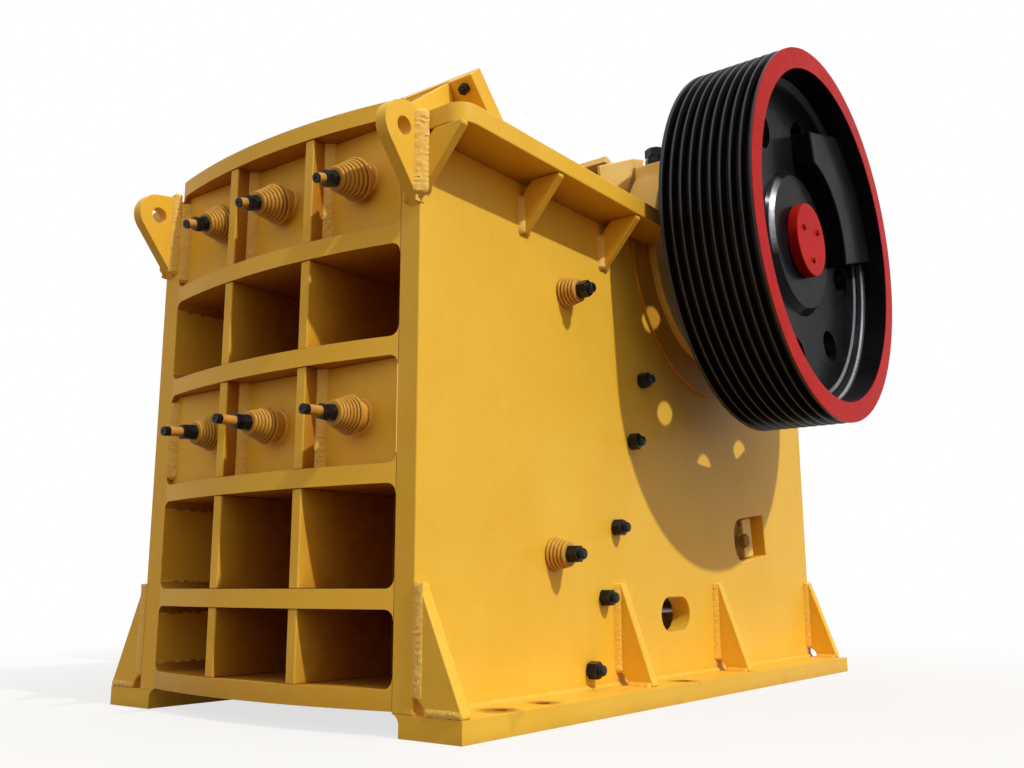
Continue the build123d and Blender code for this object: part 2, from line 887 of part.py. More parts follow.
def side_spring_bolts():
    return [wall_bolt(x, z, side_spring_length) for x, z in side_place_shares]


def side_springs():
    middle = -half_width - side_spring_length / 2
    springs = []
    for x, z in side_place_shares:
        cone = Cone(side_spring_radius, side_spring_tip_radius, side_spring_length)
        springs.append(Pos(x * frame_length, middle, z * flange_height) * Rot(90, 0, 0) * cone)
    return springs


def near_and_far():
    seat, cap = bearing_parts()
    pieces = {"base_rail": base_rail(), "side_wall": side_wall(), "bearing_seat": seat, "bearing_cap": cap}
    named = {}
    for name, shape in pieces.items():
        named[name + "_near"] = [shape]
        named[name + "_far"] = [far_copy(shape)]
    return named


def all_nodes():
    nodes = near_and_far()
    nodes["top_flanges"] = both_sides([top_flange()])
    nodes["base_gussets"] = both_sides(base_gussets())
    nodes["flange_gussets"] = both_sides(flange_gussets())
    nodes["cheek_plates"] = both_sides(cheek_plates())
    nodes["bearing_rings"] = both_sides([bearing_ring()])
    nodes["lifting_lugs"] = both_sides([lifting_lug()])
    nodes["front_ribs"] = front_ribs()
    nodes["front_webs"] = front_webs()
    nodes["tie_plates"] = tie_plates()
    nodes["front_wall"] = front_wall()
    nodes["fixed_jaw_plate"] = fixed_jaw_plate()
    nodes["swing_jaw"] = swing_jaw()
    nodes["swing_jaw_plate"] = swing_jaw_plate()
    nodes["jaw_clamp_bar"] = jaw_clamp_bar()
    nodes["jaw_guard"] = jaw_guard()
    nodes["toggle_plate"] = toggle_plate()
    nodes["toggle_block"] = toggle_block()
    nodes["shim_plates"] = shim_plates()
    nodes["rear_beam"] = rear_beam()
    nodes["rod_bracket"] = rod_bracket()
    nodes["tension_rod"] = tension_rod()
    nodes["tension_spring"] = tension_spring()
    nodes["feed_lip"] = feed_lip()
    nodes["lip_supports"] = lip_supports()
    nodes["cap_bolts"] = both_sides(cap_bolts())
    nodes["front_tie_bolts"] = front_tie_bolts()
    nodes["front_tie_springs"] = front_tie_springs()
    nodes["side_spring_bolts"] = both_sides(side_spring_bolts())
    nodes["side_springs"] = both_sides(side_springs())
    nodes["cheek_bolts"] = both_sides(cheek_bolts())
    nodes["eccentric_shaft"] = eccentric_shaft()
    nodes["belt_pulley"] = [wheel(groove_points())]
    nodes["flywheel"] = [far_copy(wheel([]))]
    nodes["pulley_weight"] = [counterweight()]
    nodes["flywheel_weight"] = [far_copy(counterweight())]
    nodes["hub_caps"] = both_sides([hub_cap()])
    return nodes


for node, shapes in all_nodes().items():
    solids = [solid for shape in shapes for solid in shape.solids()]
    placed = Pos(-origin_shift, 0, 0) * Compound(children=solids)
    export_step(placed, os.path.join("parts", node + ".step"))
    print(node, len(solids), round(sum(solid.volume for solid in solids) / 1e9, 4))
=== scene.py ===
import math
import random

import bpy
from mathutils import Matrix, Vector


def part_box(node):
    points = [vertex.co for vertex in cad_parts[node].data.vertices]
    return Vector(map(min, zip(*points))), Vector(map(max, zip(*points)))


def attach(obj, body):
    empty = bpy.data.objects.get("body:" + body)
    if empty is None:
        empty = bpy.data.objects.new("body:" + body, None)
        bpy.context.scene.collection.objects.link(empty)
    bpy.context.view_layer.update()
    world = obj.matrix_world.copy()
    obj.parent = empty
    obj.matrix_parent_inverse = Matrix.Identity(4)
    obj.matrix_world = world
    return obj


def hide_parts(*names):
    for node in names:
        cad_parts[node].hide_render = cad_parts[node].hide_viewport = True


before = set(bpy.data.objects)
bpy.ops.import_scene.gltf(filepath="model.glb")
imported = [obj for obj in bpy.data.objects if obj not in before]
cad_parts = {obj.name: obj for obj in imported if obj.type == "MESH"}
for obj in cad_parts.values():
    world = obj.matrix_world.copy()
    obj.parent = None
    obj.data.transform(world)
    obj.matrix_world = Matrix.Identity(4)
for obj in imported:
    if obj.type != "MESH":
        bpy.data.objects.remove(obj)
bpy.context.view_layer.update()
print("frame loaded:", len(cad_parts), "nodes")

# Places are metres in the frame of the CAD; X in the dictionaries below counts from the walls' front edge
originFromFront = 0.3275
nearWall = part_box("side_wall_near")
outerFace = -nearWall[0].y       # the walls' outer faces stand this far from the middle
innerFace = -nearWall[1].y
wallTop = nearWall[1].z
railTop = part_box("base_rail_near")[1].z
wallLength = 2.705
shaftSpot = Vector((1.3815, 0.0, 1.699))


def fromFront(x, y, z):
    return Vector((x - originFromFront, y, z))


def paintTone(red, green, blue):
    def linear(value):
        value /= 255
        return value / 12.92 if value <= 0.04045 else ((value + 0.055) / 1.055) ** 2.4
    return (linear(red), linear(green), linear(blue), 1.0)


# ---- node helpers
def feed(tree, socket, value):
    if isinstance(value, bpy.types.NodeSocket):
        tree.links.new(value, socket)
    else:
        socket.default_value = value


def emptyTree(owner):
    owner.use_nodes = True
    owner.node_tree.nodes.clear()
    return owner.node_tree


def put(tree, kind, spot, inputs=None, **settings):
    made = tree.nodes.new(kind)
    made.location = (spot[0] * 200, spot[1] * -180)
    for key, value in settings.items():
        setattr(made, key, value)
    for key, value in (inputs or {}).items():
        feed(tree, made.inputs[key], value)
    return made


def calc(tree, operation, spot, *values, clamp=False):
    made = put(tree, "ShaderNodeMath", spot, dict(enumerate(values)), operation=operation, use_clamp=clamp)
    return made.outputs[0]


def spread(tree, spot, value, low, high, toLow=0.0, toHigh=1.0):
    inputs = {"Value": value, "From Min": low, "From Max": high, "To Min": toLow, "To Max": toHigh}
    return put(tree, "ShaderNodeMapRange", spot, inputs).outputs[0]


def blendTone(tree, spot, factor, first, second):
    made = put(tree, "ShaderNodeMix", spot, data_type="RGBA")
    feed(tree, made.inputs[0], factor)
    feed(tree, made.inputs[6], first)
    feed(tree, made.inputs[7], second)
    return made.outputs[2]


def noiseOf(tree, spot, vector, scale, detail, **more):
    inputs = {"Vector": vector, "Scale": scale, "Detail": detail, **more}
    return put(tree, "ShaderNodeTexNoise", spot, inputs).outputs[0]


def newGroup(name, values, outputs):
    # A group that takes a vector and the named values, each with its start value
    tree = bpy.data.node_groups.new(name, "ShaderNodeTree")
    tree.interface.new_socket(name="Vector", in_out="INPUT", socket_type="NodeSocketVector")
    for label, start in values.items():
        socket = tree.interface.new_socket(name=label, in_out="INPUT", socket_type="NodeSocketFloat")
        socket.default_value = start
    for label in outputs:
        tree.interface.new_socket(name=label, in_out="OUTPUT", socket_type="NodeSocketFloat")
    return tree, put(tree, "NodeGroupInput", (-1, 0)).outputs, put(tree, "NodeGroupOutput", (9, 0)).inputs


def useGroup(tree, group, spot, **inputs):
    made = put(tree, "ShaderNodeGroup", spot, node_tree=group)
    for label, value in inputs.items():
        feed(tree, made.inputs[label], value)
    return made.outputs


# ---- shared surface effects
def makePaintPatches():
    # Broad uneven tone, fine speckle and the slight waviness of a brushed coat
    tree, given, result = newGroup("paintPatches", {"Scale": 3.0}, ["Patches", "Grain", "Height"])
    vector, scale = given["Vector"], given["Scale"]
    broad = noiseOf(tree, (1, 0), vector, scale, 5.0, Roughness=0.6, Distortion=0.4)
    fine = noiseOf(tree, (2, 2), vector, calc(tree, "MULTIPLY", (1, 2), scale, 26.0), 3.0)
    skin = noiseOf(tree, (2, 4), vector, calc(tree, "MULTIPLY", (1, 4), scale, 9.0), 2.0)
    feed(tree, result["Patches"], spread(tree, (3, 0), broad, 0.36, 0.66))
    feed(tree, result["Grain"], spread(tree, (3, 2), fine, 0.3, 0.7))
    feed(tree, result["Height"], calc(tree, "MULTIPLY_ADD", (4, 3), fine, 0.35, skin))
    return tree


def makeEdgeWear():
    # Finds edges by how far a rounded normal leans from the true one, broken up by noise
    tree, given, result = newGroup("edgeWear", {"Radius": 0.004, "Gain": 3.0}, ["Mask"])
    rounded = put(tree, "ShaderNodeBevel", (1, 0), {"Radius": given["Radius"]}, samples=4)
    surface = put(tree, "ShaderNodeNewGeometry", (1, 2))
    lean = put(tree, "ShaderNodeVectorMath", (2, 0), {0: rounded.outputs[0], 1: surface.outputs["Normal"]},
               operation="DOT_PRODUCT")
    away = calc(tree, "SUBTRACT", (3, 0), 1.0, lean.outputs["Value"])
    gained = calc(tree, "MULTIPLY", (4, 0), away, given["Gain"])
    broken = spread(tree, (4, 2), noiseOf(tree, (3, 2), given["Vector"], 38.0, 4.0), 0.38, 0.62)
    feed(tree, result["Mask"], calc(tree, "MULTIPLY", (5, 0), gained, broken, clamp=True))
    return tree


def makeTopDust():
    # Dust lies where the surface looks up
    tree, given, result = newGroup("topDust", {"Amount": 0.4}, ["Mask"])
    surface = put(tree, "ShaderNodeNewGeometry", (1, 0))
    parts = put(tree, "ShaderNodeSeparateXYZ", (2, 0), {0: surface.outputs["Normal"]})
    upward = spread(tree, (3, 0), parts.outputs[2], 0.35, 0.95)
    cloud = noiseOf(tree, (2, 2), given["Vector"], 7.0, 6.0, Roughness=0.65)
    patchy = spread(tree, (3, 2), cloud, 0.32, 0.7)
    lying = calc(tree, "MULTIPLY", (4, 0), upward, patchy)
    feed(tree, result["Mask"], calc(tree, "MULTIPLY", (5, 0), lying, given["Amount"], clamp=True))
    return tree


def makeRunMarks():
    # Faint marks where rain has run down
    tree, given, result = newGroup("runMarks", {"Scale": 18.0, "Amount": 0.4}, ["Mask"])
    squeezed = put(tree, "ShaderNodeMapping", (1, 0), {"Vector": given["Vector"], "Scale": (1.0, 1.0, 0.05)})
    streaks = noiseOf(tree, (2, 0), squeezed.outputs[0], given["Scale"], 4.0, Roughness=0.6)
    where = noiseOf(tree, (2, 2), given["Vector"], 2.2, 2.0)
    sharp = spread(tree, (3, 0), streaks, 0.52, 0.75)
    somewhere = spread(tree, (3, 2), where, 0.42, 0.68)
    run = calc(tree, "MULTIPLY", (4, 0), sharp, somewhere)
    feed(tree, result["Mask"], calc(tree, "MULTIPLY", (5, 0), run, given["Amount"], clamp=True))
    return tree


def makeCornerGrimeAndShade():
    # Darkens where surfaces shut each other in, by ambient occlusion: dirt in the corners and painted shade
    # in the recesses
    tree, given, result = newGroup("cornerGrimeAndShade", {"Distance": 0.06, "Evenness": 0.45}, ["Mask"])
    shut = put(tree, "ShaderNodeAmbientOcclusion", (1, 0), {"Distance": given["Distance"]}, samples=6)
    inner = spread(tree, (2, 0), shut.outputs["AO"], 0.85, 0.25)
    cloud = noiseOf(tree, (1, 2), given["Vector"], 16.0, 4.0)
    patchy = spread(tree, (2, 2), cloud, 0.3, 0.65, given["Evenness"], 1.0)
    feed(tree, result["Mask"], calc(tree, "MULTIPLY", (3, 0), inner, patchy, clamp=True))
    return tree


def makeCastSkin():
    # Sand-cast surface: lumps and small pits
    tree, given, result = newGroup("castSkin", {"Scale": 60.0}, ["Height"])
    lumps = noiseOf(tree, (1, 0), given["Vector"], given["Scale"], 6.0, Roughness=0.7)
    cells = put(tree, "ShaderNodeTexVoronoi", (1, 2), {"Vector": given["Vector"], "Scale": given["Scale"]})
    pits = spread(tree, (2, 2), cells.outputs["Distance"], 0.05, 0.28, 1.0, 0.0)
    sunk = calc(tree, "MULTIPLY", (3, 1), pits, 0.3)
    feed(tree, result["Height"], calc(tree, "SUBTRACT", (3, 0), lumps, sunk))
    return tree


paintPatches = makePaintPatches()
edgeWear = makeEdgeWear()
topDust = makeTopDust()
runMarks = makeRunMarks()
cornerGrimeAndShade = makeCornerGrimeAndShade()
castSkin = makeCastSkin()
print("surface effects ready")


# ---- materials
def startMaterial(name, specular, metallic=0.0, coat=0.0):
    made = bpy.data.materials.new(name)
    tree = emptyTree(made)
    surface = put(tree, "ShaderNodeBsdfPrincipled", (12, 0),
                  {"Specular IOR Level": specular, "Metallic": metallic, "Coat Weight": coat})
    output = put(tree, "ShaderNodeOutputMaterial", (14, 0))
    tree.links.new(surface.outputs[0], output.inputs[0])
    coords = put(tree, "ShaderNodeTexCoord", (-2, 0)).outputs["Object"]
    return made, tree, surface, coords


def addBump(tree, surface, height, strength, distance):
    bump = put(tree, "ShaderNodeBump", (11, 4), {
        "Height": height, "Strength": strength, "Distance": distance})
    tree.links.new(bump.outputs[0], surface.inputs["Normal"])


def paintedMaterial(name, look):
    made, tree, surface, coords = startMaterial(name, look["specular"])
    patches = useGroup(tree, paintPatches, (0, 0), Vector=coords, Scale=look["patchScale"])
    tone = blendTone(tree, (3, 0), patches["Patches"], look["tone"], look["patchTone"])
    grainy = calc(tree, "MULTIPLY", (3, 2), patches["Grain"], look["grain"])
    tone = blendTone(tree, (4, 0), grainy, tone, look["grainTone"])
    runs = useGroup(tree, runMarks, (0, 2), Vector=coords, Amount=look["runs"])
    tone = blendTone(tree, (5, 0), runs["Mask"], tone, look["runTone"])
    # Occlusion darkening: dirt in the corners, and painted shade in recesses and between parts
    grimeAndShade = useGroup(tree, cornerGrimeAndShade, (0, 4), Vector=coords, Distance=look["grimeAndShadeDistance"],
                     Evenness=look["grimeAndShadeEvenness"])
    grimeAndShadeAmount = calc(tree, "MULTIPLY", (5, 2), grimeAndShade["Mask"], look["grimeAndShade"])
    tone = blendTone(tree, (6, 0), grimeAndShadeAmount, tone, look["grimeAndShadeTone"])
    dust = useGroup(tree, topDust, (0, 6), Vector=coords, Amount=look["dust"])
    tone = blendTone(tree, (7, 0), dust["Mask"], tone, look["dustTone"])
    wear = useGroup(tree, edgeWear, (0, 8), Vector=coords, Radius=look["edgeRadius"], Gain=look["edgeGain"])
    tone = blendTone(tree, (8, 0), wear["Mask"], tone, look["edgeTone"])
    for place, (spot, reach) in enumerate(look.get("stains", [])):
        # Oil has crept out round each bolt hole
        row = 10 + place
        gap = put(tree, "ShaderNodeVectorMath", (1, row), {0: coords, 1: spot}, operation="DISTANCE")
        ragged = calc(tree, "MULTIPLY_ADD", (2, row), patches["Patches"], reach * 0.5, gap.outputs["Value"])
        stained = spread(tree, (3, row), ragged, reach, reach * 0.55, 0.0, look["stainDepth"])
        tone = blendTone(tree, (9, place), stained, tone, look["grimeAndShadeTone"])
    tree.links.new(tone, surface.inputs["Base Color"])
    low, high = look["roughness"]
    rough = spread(tree, (9, 3), patches["Grain"], 0.0, 1.0, low, high)
    dulled = calc(tree, "MULTIPLY_ADD", (10, 3), dust["Mask"], 0.3, rough, clamp=True)
    tree.links.new(dulled, surface.inputs["Roughness"])
    height = patches["Height"]
    if look.get("castScale"):
        skin = useGroup(tree, castSkin, (0, 14), Vector=coords, Scale=look["castScale"])
        height = skin["Height"]
    addBump(tree, surface, height, look["bump"], look["bumpDepth"])
    return made


yellowPaint = {
    "tone": paintTone(246, 195, 60), "patchTone": paintTone(241, 186, 48), "patchScale": 2.6, "specular": 0.2,
    "grain": 0.16, "grainTone": paintTone(252, 211, 104),
    "runs": 0.14, "runTone": paintTone(220, 160, 46),
    "grimeAndShade": 0.45, "grimeAndShadeDistance": 0.05, "grimeAndShadeEvenness": 0.45, "grimeAndShadeTone": paintTone(120, 72, 18),
    "dust": 0.14, "dustTone": paintTone(236, 192, 104),
    "edgeRadius": 0.004, "edgeGain": 2.2, "edgeTone": paintTone(246, 208, 128),
    "roughness": (0.36, 0.5), "bump": 0.22, "bumpDepth": 0.003,
}
framePaint = paintedMaterial("framePaint", yellowPaint)
railPaint = paintedMaterial("railPaint", {
    **yellowPaint, "dust": 0.35, "stainDepth": 0.75,
    "stains": [(fromFront(x, side * (outerFace + 0.105), railTop), 0.085)
               for x in (0.23, 0.425, 1.26) for side in (-1, 1)]})
# Painted light: a pale tone makes the housings as bright as stronger light on them would
housingPaleLitPaint = paintedMaterial("housingPaleLitPaint", {
    **yellowPaint, "tone": paintTone(250, 212, 130), "patchTone": paintTone(240, 190, 96), "castScale": 42.0,
    "grain": 0.3, "bump": 0.5, "bumpDepth": 0.004, "roughness": (0.45, 0.62)})
discPaint = paintedMaterial("discPaint", {
    **yellowPaint, "tone": paintTone(214, 160, 58), "patchTone": paintTone(190, 134, 40), "patchScale": 14.0,
    "grimeAndShade": 0.9, "grimeAndShadeDistance": 0.012, "edgeRadius": 0.002, "edgeGain": 2.5, "roughness": (0.32, 0.46)})
weldPaint = paintedMaterial("weldPaint", {
    **yellowPaint, "tone": paintTone(248, 196, 68), "patchTone": paintTone(244, 184, 52), "patchScale": 8.0,
    "grain": 0.55, "grainTone": paintTone(255, 232, 156), "grimeAndShade": 0.3, "grimeAndShadeDistance": 0.01,
    "grimeAndShadeTone": paintTone(150, 94, 26), "castScale": 170.0, "bump": 0.32, "bumpDepth": 0.0015,
    "roughness": (0.4, 0.6)})
castPaint = paintedMaterial("castPaint", {
    **yellowPaint, "tone": paintTone(196, 146, 60), "patchTone": paintTone(138, 96, 38), "patchScale": 9.0,
    "grain": 0.5, "grainTone": paintTone(90, 62, 30), "castScale": 30.0, "bump": 0.9, "bumpDepth": 0.008,
    "grimeAndShade": 0.9, "roughness": (0.55, 0.75)})
shimPaint = paintedMaterial("shimPaint", {
    **yellowPaint, "tone": paintTone(252, 212, 130), "patchTone": paintTone(246, 190, 84), "patchScale": 12.0,
    "grimeAndShade": 0.3, "runs": 0.2})
# Painted shade: a darker orange tone and strong occlusion darkening stand in for the shade the bearing ring
# sits in
ringShadePaint = paintedMaterial("ringShadePaint", {
    **yellowPaint, "tone": paintTone(232, 166, 50), "patchTone": paintTone(214, 146, 40), "edgeGain": 0.2,
    "grimeAndShade": 0.7, "grimeAndShadeDistance": 0.06, "grimeAndShadeTone": paintTone(96, 46, 10)})
beadPaint = paintedMaterial("beadPaint", {
    **yellowPaint, "tone": paintTone(250, 200, 78), "patchTone": paintTone(246, 190, 60), "patchScale": 8.0,
    "grain": 0.4, "grainTone": paintTone(222, 164, 58), "grimeAndShade": 0.3, "grimeAndShadeDistance": 0.01,
    "castScale": 170.0, "bump": 0.5, "bumpDepth": 0.002, "roughness": (0.4, 0.6)})
# Painted shade: strong occlusion darkening with a long reach turns the front cells dark reddish brown towards
# their backs
cellShadePaint = paintedMaterial("cellShadePaint", {
    **yellowPaint, "grimeAndShade": 0.9, "grimeAndShadeDistance": 0.36, "grimeAndShadeEvenness": 0.9,
    "grimeAndShadeTone": paintTone(136, 54, 8)})
rodPaint = paintedMaterial("rodPaint", {
    **yellowPaint, "tone": paintTone(206, 150, 66), "patchTone": paintTone(176, 118, 44), "patchScale": 30.0,
    "grimeAndShade": 0.3, "dust": 0.1, "edgeGain": 1.2})
redPaint = paintedMaterial("redPaint", {
    **yellowPaint, "tone": paintTone(196, 30, 28), "patchTone": paintTone(178, 22, 22), "patchScale": 7.0,
    "specular": 0.02,
    "grain": 0.2, "grainTone": paintTone(208, 56, 48), "runs": 0.25, "runTone": paintTone(140, 18, 16),
    "grimeAndShade": 0.8, "grimeAndShadeDistance": 0.02, "grimeAndShadeTone": paintTone(60, 12, 10), "dust": 0.08,
    "dustTone": paintTone(190, 110, 96), "edgeTone": paintTone(222, 96, 84), "roughness": (0.28, 0.4)})


def metalMaterial(name, look):
    made, tree, surface, coords = startMaterial(
        name, look["specular"], look["metallic"], look.get("coat", 0.0))
    surface.inputs["Coat Roughness"].default_value = 0.12
    patches = useGroup(tree, paintPatches, (0, 0), Vector=coords, Scale=look["patchScale"])
    tone = blendTone(tree, (3, 0), patches["Patches"], look["tone"], look["patchTone"])
    wear = useGroup(tree, edgeWear, (0, 3), Vector=coords, Radius=look["edgeRadius"], Gain=look["edgeGain"])
    tone = blendTone(tree, (4, 0), wear["Mask"], tone, look["edgeTone"])
    dust = useGroup(tree, topDust, (0, 5), Vector=coords, Amount=look["dust"])
    tone = blendTone(tree, (5, 0), dust["Mask"], tone, look["dustTone"])
    tree.links.new(tone, surface.inputs["Base Color"])
    low, high = look["roughness"]
    tree.links.new(spread(tree, (6, 3), patches["Grain"], 0.0, 1.0, low, high), surface.inputs["Roughness"])
    skin = useGroup(tree, castSkin, (0, 7), Vector=coords, Scale=look["castScale"])
    addBump(tree, surface, skin["Height"], look["bump"], 0.003)
    return made


blackNut = metalMaterial("blackNut", {
    "tone": paintTone(16, 16, 20), "patchTone": paintTone(30, 29, 34), "patchScale": 20.0,
    "metallic": 0.0, "coat": 0.22, "specular": 0.1, "edgeTone": paintTone(78, 78, 86),
    "edgeRadius": 0.0025, "edgeGain": 2.0, "dust": 0.12,
    "dustTone": paintTone(130, 110, 80), "roughness": (0.22, 0.36), "castScale": 240.0, "bump": 0.15})
wearIron = metalMaterial("wearIron", {
    "tone": paintTone(150, 112, 52), "patchTone": paintTone(96, 74, 46), "patchScale": 9.0,
    "metallic": 0.0, "specular": 0.25,
    "edgeTone": paintTone(176, 150, 104), "edgeRadius": 0.006, "edgeGain": 2.0, "dust": 0.5,
    "dustTone": paintTone(196, 176, 140), "roughness": (0.5, 0.7), "castScale": 70.0, "bump": 0.5})
bareSteel = metalMaterial("bareSteel", {
    "tone": paintTone(158, 152, 142), "patchTone": paintTone(118, 108, 96), "patchScale": 12.0,
    "metallic": 0.9, "specular": 0.5,
    "edgeTone": paintTone(208, 204, 196), "edgeRadius": 0.003, "edgeGain": 2.0, "dust": 0.15,
    "dustTone": paintTone(150, 130, 100), "roughness": (0.3, 0.46), "castScale": 160.0, "bump": 0.12})

wheelLook = {
    "radius": 0.721, "face": 1.166, "rim": 0.643, "step": 0.604, "stepFace": 1.04,
    "hubFace": 0.262, "hubDepth": 1.0, "landDepth": 0.0035, "edgeLine": 0.0065,
    "specular": 0.02, "blackCoat": 0.12, "redCoat": 0.01, "dust": 0.08,
    "tone": paintTone(14, 14, 17), "patchTone": paintTone(25, 25, 29), "grooveTone": paintTone(22, 17, 16),
    "landWearAndSheenTone": paintTone(70, 74, 82), "glintTone": paintTone(176, 180, 184),
    "dustTone": paintTone(80, 72, 62), "redTone": paintTone(196, 32, 28), "redPatch": paintTone(180, 24, 22),
}


def bandMask(tree, spot, value, middle, half):
    off = calc(tree, "ABSOLUTE", (spot[0] + 1, spot[1]), calc(tree, "SUBTRACT", spot, value, middle))
    return spread(tree, (spot[0] + 2, spot[1]), off, half * 1.3, half * 0.7)


def wheelMaterial(look):
    made, tree, surface, coords = startMaterial("wheelPaint", look["specular"])
    surface.inputs["Coat Roughness"].default_value = 0.15
    place = put(tree, "ShaderNodeSeparateXYZ", (-1, 2), {0: coords})
    across = calc(tree, "SUBTRACT", (0, 2), place.outputs[0], shaftSpot.x)
    up = calc(tree, "SUBTRACT", (0, 3), place.outputs[2], shaftSpot.z)
    squares = calc(tree, "MULTIPLY_ADD", (2, 2), across, across, calc(tree, "MULTIPLY", (1, 3), up, up))
    radius = calc(tree, "SQRT", (3, 2), squares)
    outward = calc(tree, "ABSOLUTE", (0, 4), place.outputs[1])
    patches = useGroup(tree, paintPatches, (0, 0), Vector=coords, Scale=6.0)
    tone = blendTone(tree, (4, 0), patches["Patches"], look["tone"], look["patchTone"])
    rimBand = spread(tree, (4, 3), radius, look["rim"] + 0.03, look["rim"] + 0.034)
    tone = blendTone(tree, (5, 0), rimBand, tone, look["grooveTone"])
    # The lands at the groove edges: worn paint and a painted sheen, a blue-grey lighter than the black
    landStart = look["radius"] - look["landDepth"]
    landWearAndSheen = spread(tree, (4, 4), radius, landStart, landStart + 0.001)
    tone = blendTone(tree, (6, 0), landWearAndSheen, tone, look["landWearAndSheenTone"])
    # Painted highlights in a light steel tone: a streak on the upper front of the hub's cone, and two thin
    # lines at the web's steps low at the rear, stand in for reflections
    cone = bandMask(tree, (4, 6), radius, look["hubFace"] + 0.006, 0.009)
    outside = spread(tree, (4, 7), outward, look["hubDepth"], look["hubDepth"] + 0.01)
    stepGlintLines = calc(tree, "MAXIMUM", (7, 8), bandMask(tree, (4, 8), radius, look["step"], look["edgeLine"]),
                 bandMask(tree, (4, 9), radius, look["rim"] - 0.001, look["edgeLine"]))
    atStep = bandMask(tree, (4, 10), outward, look["stepFace"] + 0.013, 0.018)
    glintBreakup = spread(tree, (6, 5), patches["Grain"], 0.0, 1.0, 0.55, 1.0)
    towardsFront = spread(tree, (5, 7), across, -0.16, -0.27)
    raised = bandMask(tree, (4, 14), up, 0.08, 0.15)
    coneGlint = calc(tree, "MULTIPLY", (7, 7), calc(tree, "MULTIPLY", (6, 7), cone, outside), calc(
        tree, "MULTIPLY", (7, 14), towardsFront, raised))
    lowRear = calc(tree, "MULTIPLY", (6, 9), spread(tree, (5, 8), across, 0.12, 0.3), spread(
        tree, (5, 9), up, 0.1, -0.05))
    glint = calc(tree, "MAXIMUM", (8, 6), coneGlint, calc(tree, "MULTIPLY", (9, 8), lowRear, calc(
        tree, "MULTIPLY", (8, 8), stepGlintLines, atStep)))
    glint = calc(tree, "MULTIPLY", (9, 6), glint, glintBreakup)
    tone = blendTone(tree, (9, 0), glint, tone, look["glintTone"])
    atFace = spread(tree, (4, 12), outward, look["face"] - 0.003, look["face"] - 0.002)
    onRing = spread(tree, (4, 13), radius, look["rim"] - 0.003, look["rim"] - 0.002)
    red = calc(tree, "MULTIPLY", (6, 12), atFace, onRing)
    redTone = blendTone(tree, (6, 13), patches["Patches"], look["redTone"], look["redPatch"])
    tone = blendTone(tree, (10, 0), red, tone, redTone)
    dust = useGroup(tree, topDust, (0, 15), Vector=coords, Amount=look["dust"])
    tone = blendTone(tree, (11, 0), dust["Mask"], tone, look["dustTone"])
    tree.links.new(tone, surface.inputs["Base Color"])
    coat = spread(tree, (11, 2), red, 0.0, 1.0, look["blackCoat"], look["redCoat"])
    tree.links.new(coat, surface.inputs["Coat Weight"])
    tree.links.new(calc(tree, "MULTIPLY", (10, 6), glint, 0.5), surface.inputs["Metallic"])
    tree.links.new(spread(tree, (10, 3), patches["Grain"], 0.0, 1.0, 0.26, 0.42), surface.inputs["Roughness"])
    skin = useGroup(tree, castSkin, (0, 17), Vector=coords, Scale=26.0)
    addBump(tree, surface, skin["Height"], 0.16, 0.004)
    return made


wheelPaint = wheelMaterial(wheelLook)
print("materials ready")


# ---- the CAD's own pieces: rounded edges and finishes
nodeFinish = {
    framePaint: ["side_wall_near", "side_wall_far", "flange_gussets", "lifting_lugs", "tie_plates",
                 "rear_beam", "rod_bracket", "feed_lip"],
    cellShadePaint: ["top_flanges", "front_ribs", "front_webs", "front_wall"],
    ringShadePaint: ["bearing_rings"],
    railPaint: ["base_rail_near", "base_rail_far"],
    housingPaleLitPaint: ["bearing_seat_near", "bearing_seat_far", "bearing_cap_near", "bearing_cap_far",
                   "jaw_guard", "jaw_clamp_bar"],
    castPaint: ["toggle_block", "swing_jaw"],
    shimPaint: ["shim_plates"],
    wearIron: ["fixed_jaw_plate", "swing_jaw_plate", "cheek_plates", "toggle_plate"],
    bareSteel: ["eccentric_shaft", "tension_rod"],
    discPaint: ["tension_spring"],
    wheelPaint: ["belt_pulley", "flywheel", "pulley_weight", "flywheel_weight"],
    redPaint: ["hub_caps"],
}
edgeRounding = {
    "start": 0.0035, "belt_pulley": 0.0016, "flywheel": 0.0016, "bearing_cap_near": 0.009,
    "bearing_cap_far": 0.009, "toggle_block": 0.006, "swing_jaw": 0.008, "hub_caps": 0.004,
    "pulley_weight": 0.006, "flywheel_weight": 0.006, "bearing_rings": 0.002, "lifting_lugs": 0.005,
    "jaw_guard": 0.006,
}


def roundEdges(piece, width=edgeRounding["start"]):
    weld = piece.modifiers.new("weld", "WELD")
    weld.merge_threshold = 0.00005
    flatten = piece.modifiers.new("flatten", "DECIMATE")
    flatten.decimate_type = "DISSOLVE"
    flatten.angle_limit = math.radians(0.4)
    bevel = piece.modifiers.new("bevel", "BEVEL")
    bevel.width = width
    bevel.segments = 2
    bevel.limit_method = "ANGLE"
    bevel.angle_limit = math.radians(32)
    bevel.use_clamp_overlap = True
    bevel.harden_normals = False
    shade = piece.modifiers.new("shade", "WEIGHTED_NORMAL")
    shade.keep_sharp = True
    shade.weight = 70


for finish, names in nodeFinish.items():
    for name in names:
        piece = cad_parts[name]
        piece.data.materials.clear()
        piece.data.materials.append(finish)
        roundEdges(piece, edgeRounding.get(name, edgeRounding["start"]))
print("CAD pieces finished")


# ---- mesh helpers
sharpAngle = math.radians(35)


def linked(name, data):
    made = bpy.data.objects.new(name, data)
    bpy.context.scene.collection.objects.link(made)
    return made


